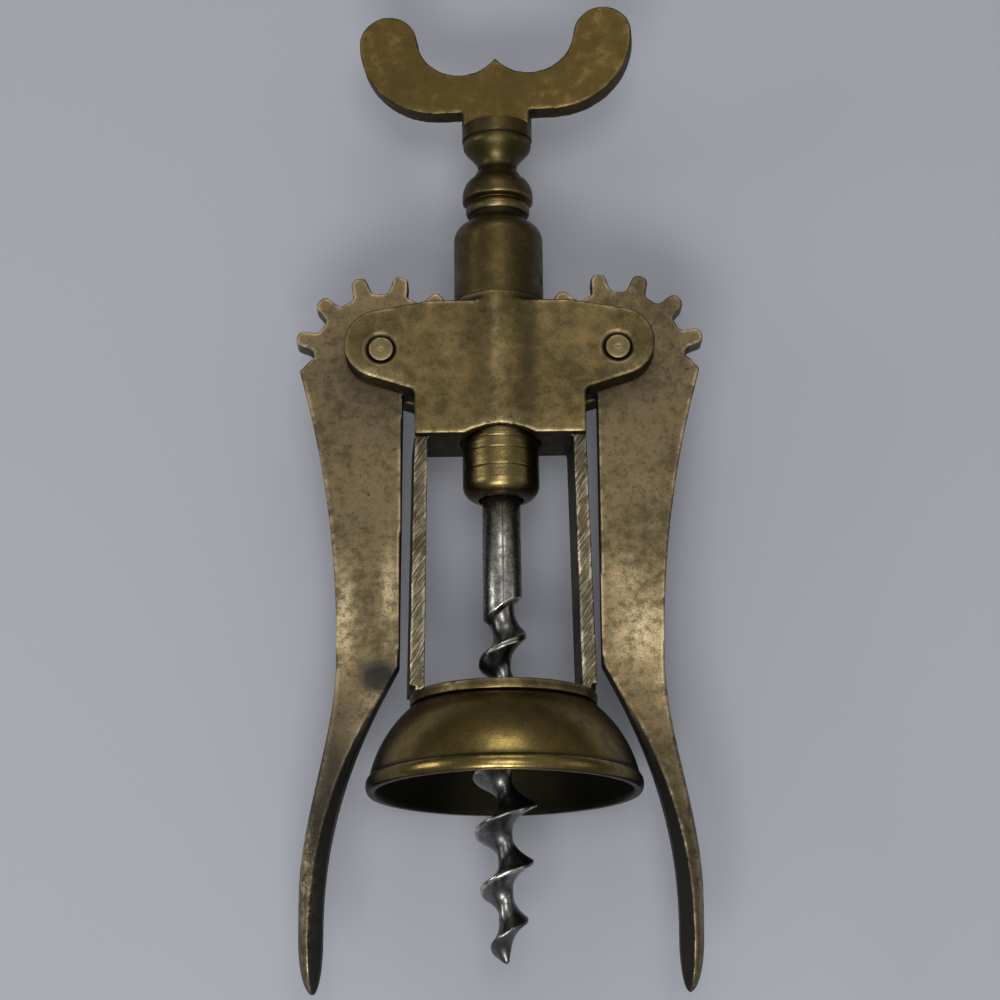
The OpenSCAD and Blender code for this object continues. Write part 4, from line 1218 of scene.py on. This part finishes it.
@dataclass
class Worm(SubAssembly):
    """The steel shank and its right-handed worm, as radii over turn and level."""

    shank_r: float = 3.0
    shank_end: float = 58.4
    end_rise: float = 3.0 * math.tan(math.radians(32.0))
    pitch: float = 8.7
    crest_z: float = 54.2
    worm_r: float = 4.9
    worm_length: float = 54.2
    core_r: float = 1.1
    throat_r: float = 1.75
    throat_h: float = 11.0
    flange_t: float = 0.46
    widest_share: float = 0.44
    tip_power: float = 0.3
    core_power: float = 0.55
    flank_power: float = 3.0
    seam_x: float = 0.15
    seam_w: float = 0.14
    keeper_z: float = 83.28
    keeper_t: float = 1.04
    keeper_depth: float = 0.3
    columns: int = 112
    row_step: float = 0.11

    def build(self) -> None:
        """Makes the worm with its shank."""
        box = Extent.of("worm")
        top = self.shank_end + self.end_rise + 0.6
        count = int((top - box.z0) / self.row_step)
        levels = box.z0 + (top - box.z0) * np.linspace(0, 1, count)
        angles = np.arange(self.columns) / self.columns * math.tau
        radii = self._radius(angles[None, :], levels[:, None], box.z0)
        keeper_r, keeper_z1 = self.shank_r - self.keeper_depth, self.keeper_z + self.keeper_t
        for level, radius in ((self.keeper_z - 0.01, self.shank_r), (self.keeper_z, keeper_r),
                              (keeper_z1, keeper_r), (keeper_z1 + 0.01, self.shank_r),
                              (box.z1 - 0.2, self.shank_r), (box.z1, self.shank_r - 0.25)):
            levels = np.append(levels, level)
            radii = np.vstack((radii, np.full(self.columns, radius)))
        quads = ring_quads(len(levels), self.columns, closed=False).tolist()
        total = len(levels) * self.columns
        quads += [list(range(self.columns))[::-1], list(range(total - self.columns, total))]
        worm = mesh_object("worm_auger", around(radii, angles, levels[:, None]), quads)
        mark_wear(worm, 1)
        self._mark_seam(worm)
        self.finisher.fit(worm, WORM_STEEL, "screw", "worm")

    def _mark_seam(self, worm: Piece) -> None:
        """Stores the dark seam down the shank's front, and a lighter shank that paints in its broad sheen.

        Args:
            worm: the worm with its shank.
        """
        x, y, z = upright(coordinates(worm.data)).T
        shank = smoothstep(z, self.shank_end - 1.5, self.shank_end + 1.5)
        seam = np.exp(-((x - self.seam_x) / self.seam_w) ** 2) * (y < 0) * shank
        store(worm.data, "shade_and_seam", 0.75 * seam)
        # Painted sheen: the shank is lightened where it shows a broad reflection
        store(worm.data, "wear_and_highlight", 0.6 * shank * (1 - seam))

    def _radius(self, angle: Points, level: Points, tip: float) -> Points:
        """The surface's radius.

        Args:
            angle: turn about the axis from the right-hand side, in radians.
            level: height.
            tip: height of the tip.

        Returns:
            The radius at each turn and level.
        """
        height = level - tip
        phase = (level - self.crest_z) / self.pitch - angle / math.tau
        off = np.abs(phase - np.round(phase)) * self.pitch
        wide = self.worm_length * self.widest_share
        proud = 0.5 * np.clip((self.worm_length - height) / 3, 0, 1)
        thinning = smoothstep(height, wide, self.worm_length)
        upper = self.worm_r + (self.shank_r + proud - self.worm_r) * thinning
        lower = self.worm_r * np.clip((height - 0.15) / wide, 0, 1) ** self.tip_power
        crest = np.where(height > wide, upper, lower)
        near_top = smoothstep(level, self.shank_end - self.throat_h, self.shank_end)
        core = self.core_r + (self.throat_r - self.core_r) * near_top
        core = core * np.clip(height / 5, 0.02, 1) ** self.core_power
        land = self.flange_t / 2 * (1 + 1.8 * near_top) * np.clip(0.35 + height / 8, 0, 1)
        slope = np.clip((off - land) / (self.pitch / 2 - land), 0, 1)
        flank = (1 - slope) ** (self.flank_power - 0.9 * near_top)
        blade = core + np.maximum(crest - core, 0) * flank
        end = self.shank_end + self.end_rise * np.cos(angle)
        shank = smoothstep(level, end - 0.45, end + 0.12)
        return np.maximum(blade * (1 - shank) + self.shank_r * shank, 0.03)


# ---- stage ----

LAMP_TARGET: Place = (0.0, 0.0, 0.02)


@dataclass(frozen=True)
class Lamp:
    """A soft rectangular lamp that shines at the object's middle."""

    name: str
    place: Place
    width: float
    height: float
    power: float

    def build(self) -> None:
        """Hangs the lamp."""
        data = bpy.data.lights.new(self.name, "AREA")
        data.shape = "RECTANGLE"
        data.size, data.size_y, data.energy = self.width, self.height, self.power
        lamp = linked(self.name, data)
        lamp.location = self.place
        way = Vector(LAMP_TARGET) - lamp.location
        lamp.rotation_euler = way.to_track_quat("-Z", "Y").to_euler()


@dataclass
class Studio:
    """A pale table, a soft sky, the lamps and the camera."""

    table_colour: Colour = (0.325, 0.33, 0.365)
    sky_colour: Colour = (0.95, 0.97, 1.0)
    sky_low: float = 0.12
    sky_high: float = 0.44
    table_side: float = 8.0
    tilt: float = 16.3
    roll: float = -0.68
    camera_place: Place = (-0.0002, -0.117, 0.40905)
    focal_length: float = 93.38
    lamps: tuple[Lamp, ...] = (
        Lamp("lamp_front", (-0.05, -0.36, 0.48), 0.26, 0.16, 1.75),
        Lamp("lamp_over", (0.02, -0.06, 0.8), 0.24, 0.24, 1.6),
        Lamp("lamp_top", (0.0, 0.36, 0.46), 0.3, 0.12, 0.4),
        Lamp("lamp_left", (-0.5, 0.05, 0.28), 0.2, 0.2, 0.5),
        Lamp("lamp_right", (0.52, 0.0, 0.3), 0.2, 0.2, 0.1),
    )

    def build(self) -> None:
        """Sets the stage."""
        self._table()
        self._sky()
        for lamp in self.lamps:
            lamp.build()
        self._camera()
        bpy.context.scene.view_settings.view_transform = "Standard"

    def _table(self) -> None:
        """Lays the table top under the object."""
        half = self.table_side / 2
        mesh = bpy.data.meshes.new("table_top")
        corners = [(x * half, y * half, 0) for x, y in ((-1, -1), (1, -1), (1, 1), (-1, 1))]
        mesh.from_pydata(corners, [], [(0, 1, 2, 3)])
        table = linked("table_top", mesh)
        g = Graph.of_material("table_paint")
        g.feed(g.shader.inputs["Base Color"], self.table_colour)
        g.feed(g.shader.inputs["Roughness"], 0.85)
        mesh.materials.append(g.owner)

    def _sky(self) -> None:
        """Makes a soft sky that is brightest overhead."""
        g = Graph(bpy.data.worlds.new("soft_sky"), "Background")
        way = g.node("ShaderNodeTexCoord", {}, {}, "Generated")
        height = g.node("ShaderNodeSeparateXYZ", {}, {0: way}, "Z")
        g.feed(g.shader.inputs["Color"], self.sky_colour)
        g.feed(g.shader.inputs["Strength"], height.eased(0.0, 1.0, self.sky_low, self.sky_high))
        bpy.context.scene.world = g.owner

    def _camera(self) -> None:
        """Sets the camera above the lower end, tilted towards the handle."""
        data = bpy.data.cameras.new("photo_camera")
        data.lens, data.sensor_width = self.focal_length, 36.0
        data.clip_start, data.clip_end = 0.01, 20.0
        camera = linked("photo_camera", data)
        tilt, roll = math.radians(self.tilt), math.radians(self.roll)
        turn = Matrix.Rotation(tilt, 4, "X") @ Matrix.Rotation(roll, 4, "Z")
        camera.matrix_world = Matrix.Translation(self.camera_place) @ turn
        bpy.context.scene.camera = camera


# ---- the corkscrew ----


class Corkscrew:
    """The whole tool."""

    def build(self) -> None:
        """Makes every piece in turn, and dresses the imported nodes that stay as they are."""
        finisher = Finisher()
        for group in (Housing, Neck, Bell, Levers, Rack, Stem, Worm):
            group(finisher).build()
        Casting(finisher, "handle", "screw", HANDLE_BRASS, "handle_cast", 0.25).build()
        for node in ("retaining_ring", "spindle_pin"):
            finisher.dress(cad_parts[node], HIDDEN_STEEL)
            LOG.info("%s: packed solid with its own finish", node)


def main() -> None:
    """Builds the stage and the corkscrew."""
    logging.basicConfig(level=logging.INFO, format="%(name)s: %(message)s")
    Studio().build()
    Corkscrew().build()


if __name__ == "__main__":
    main()
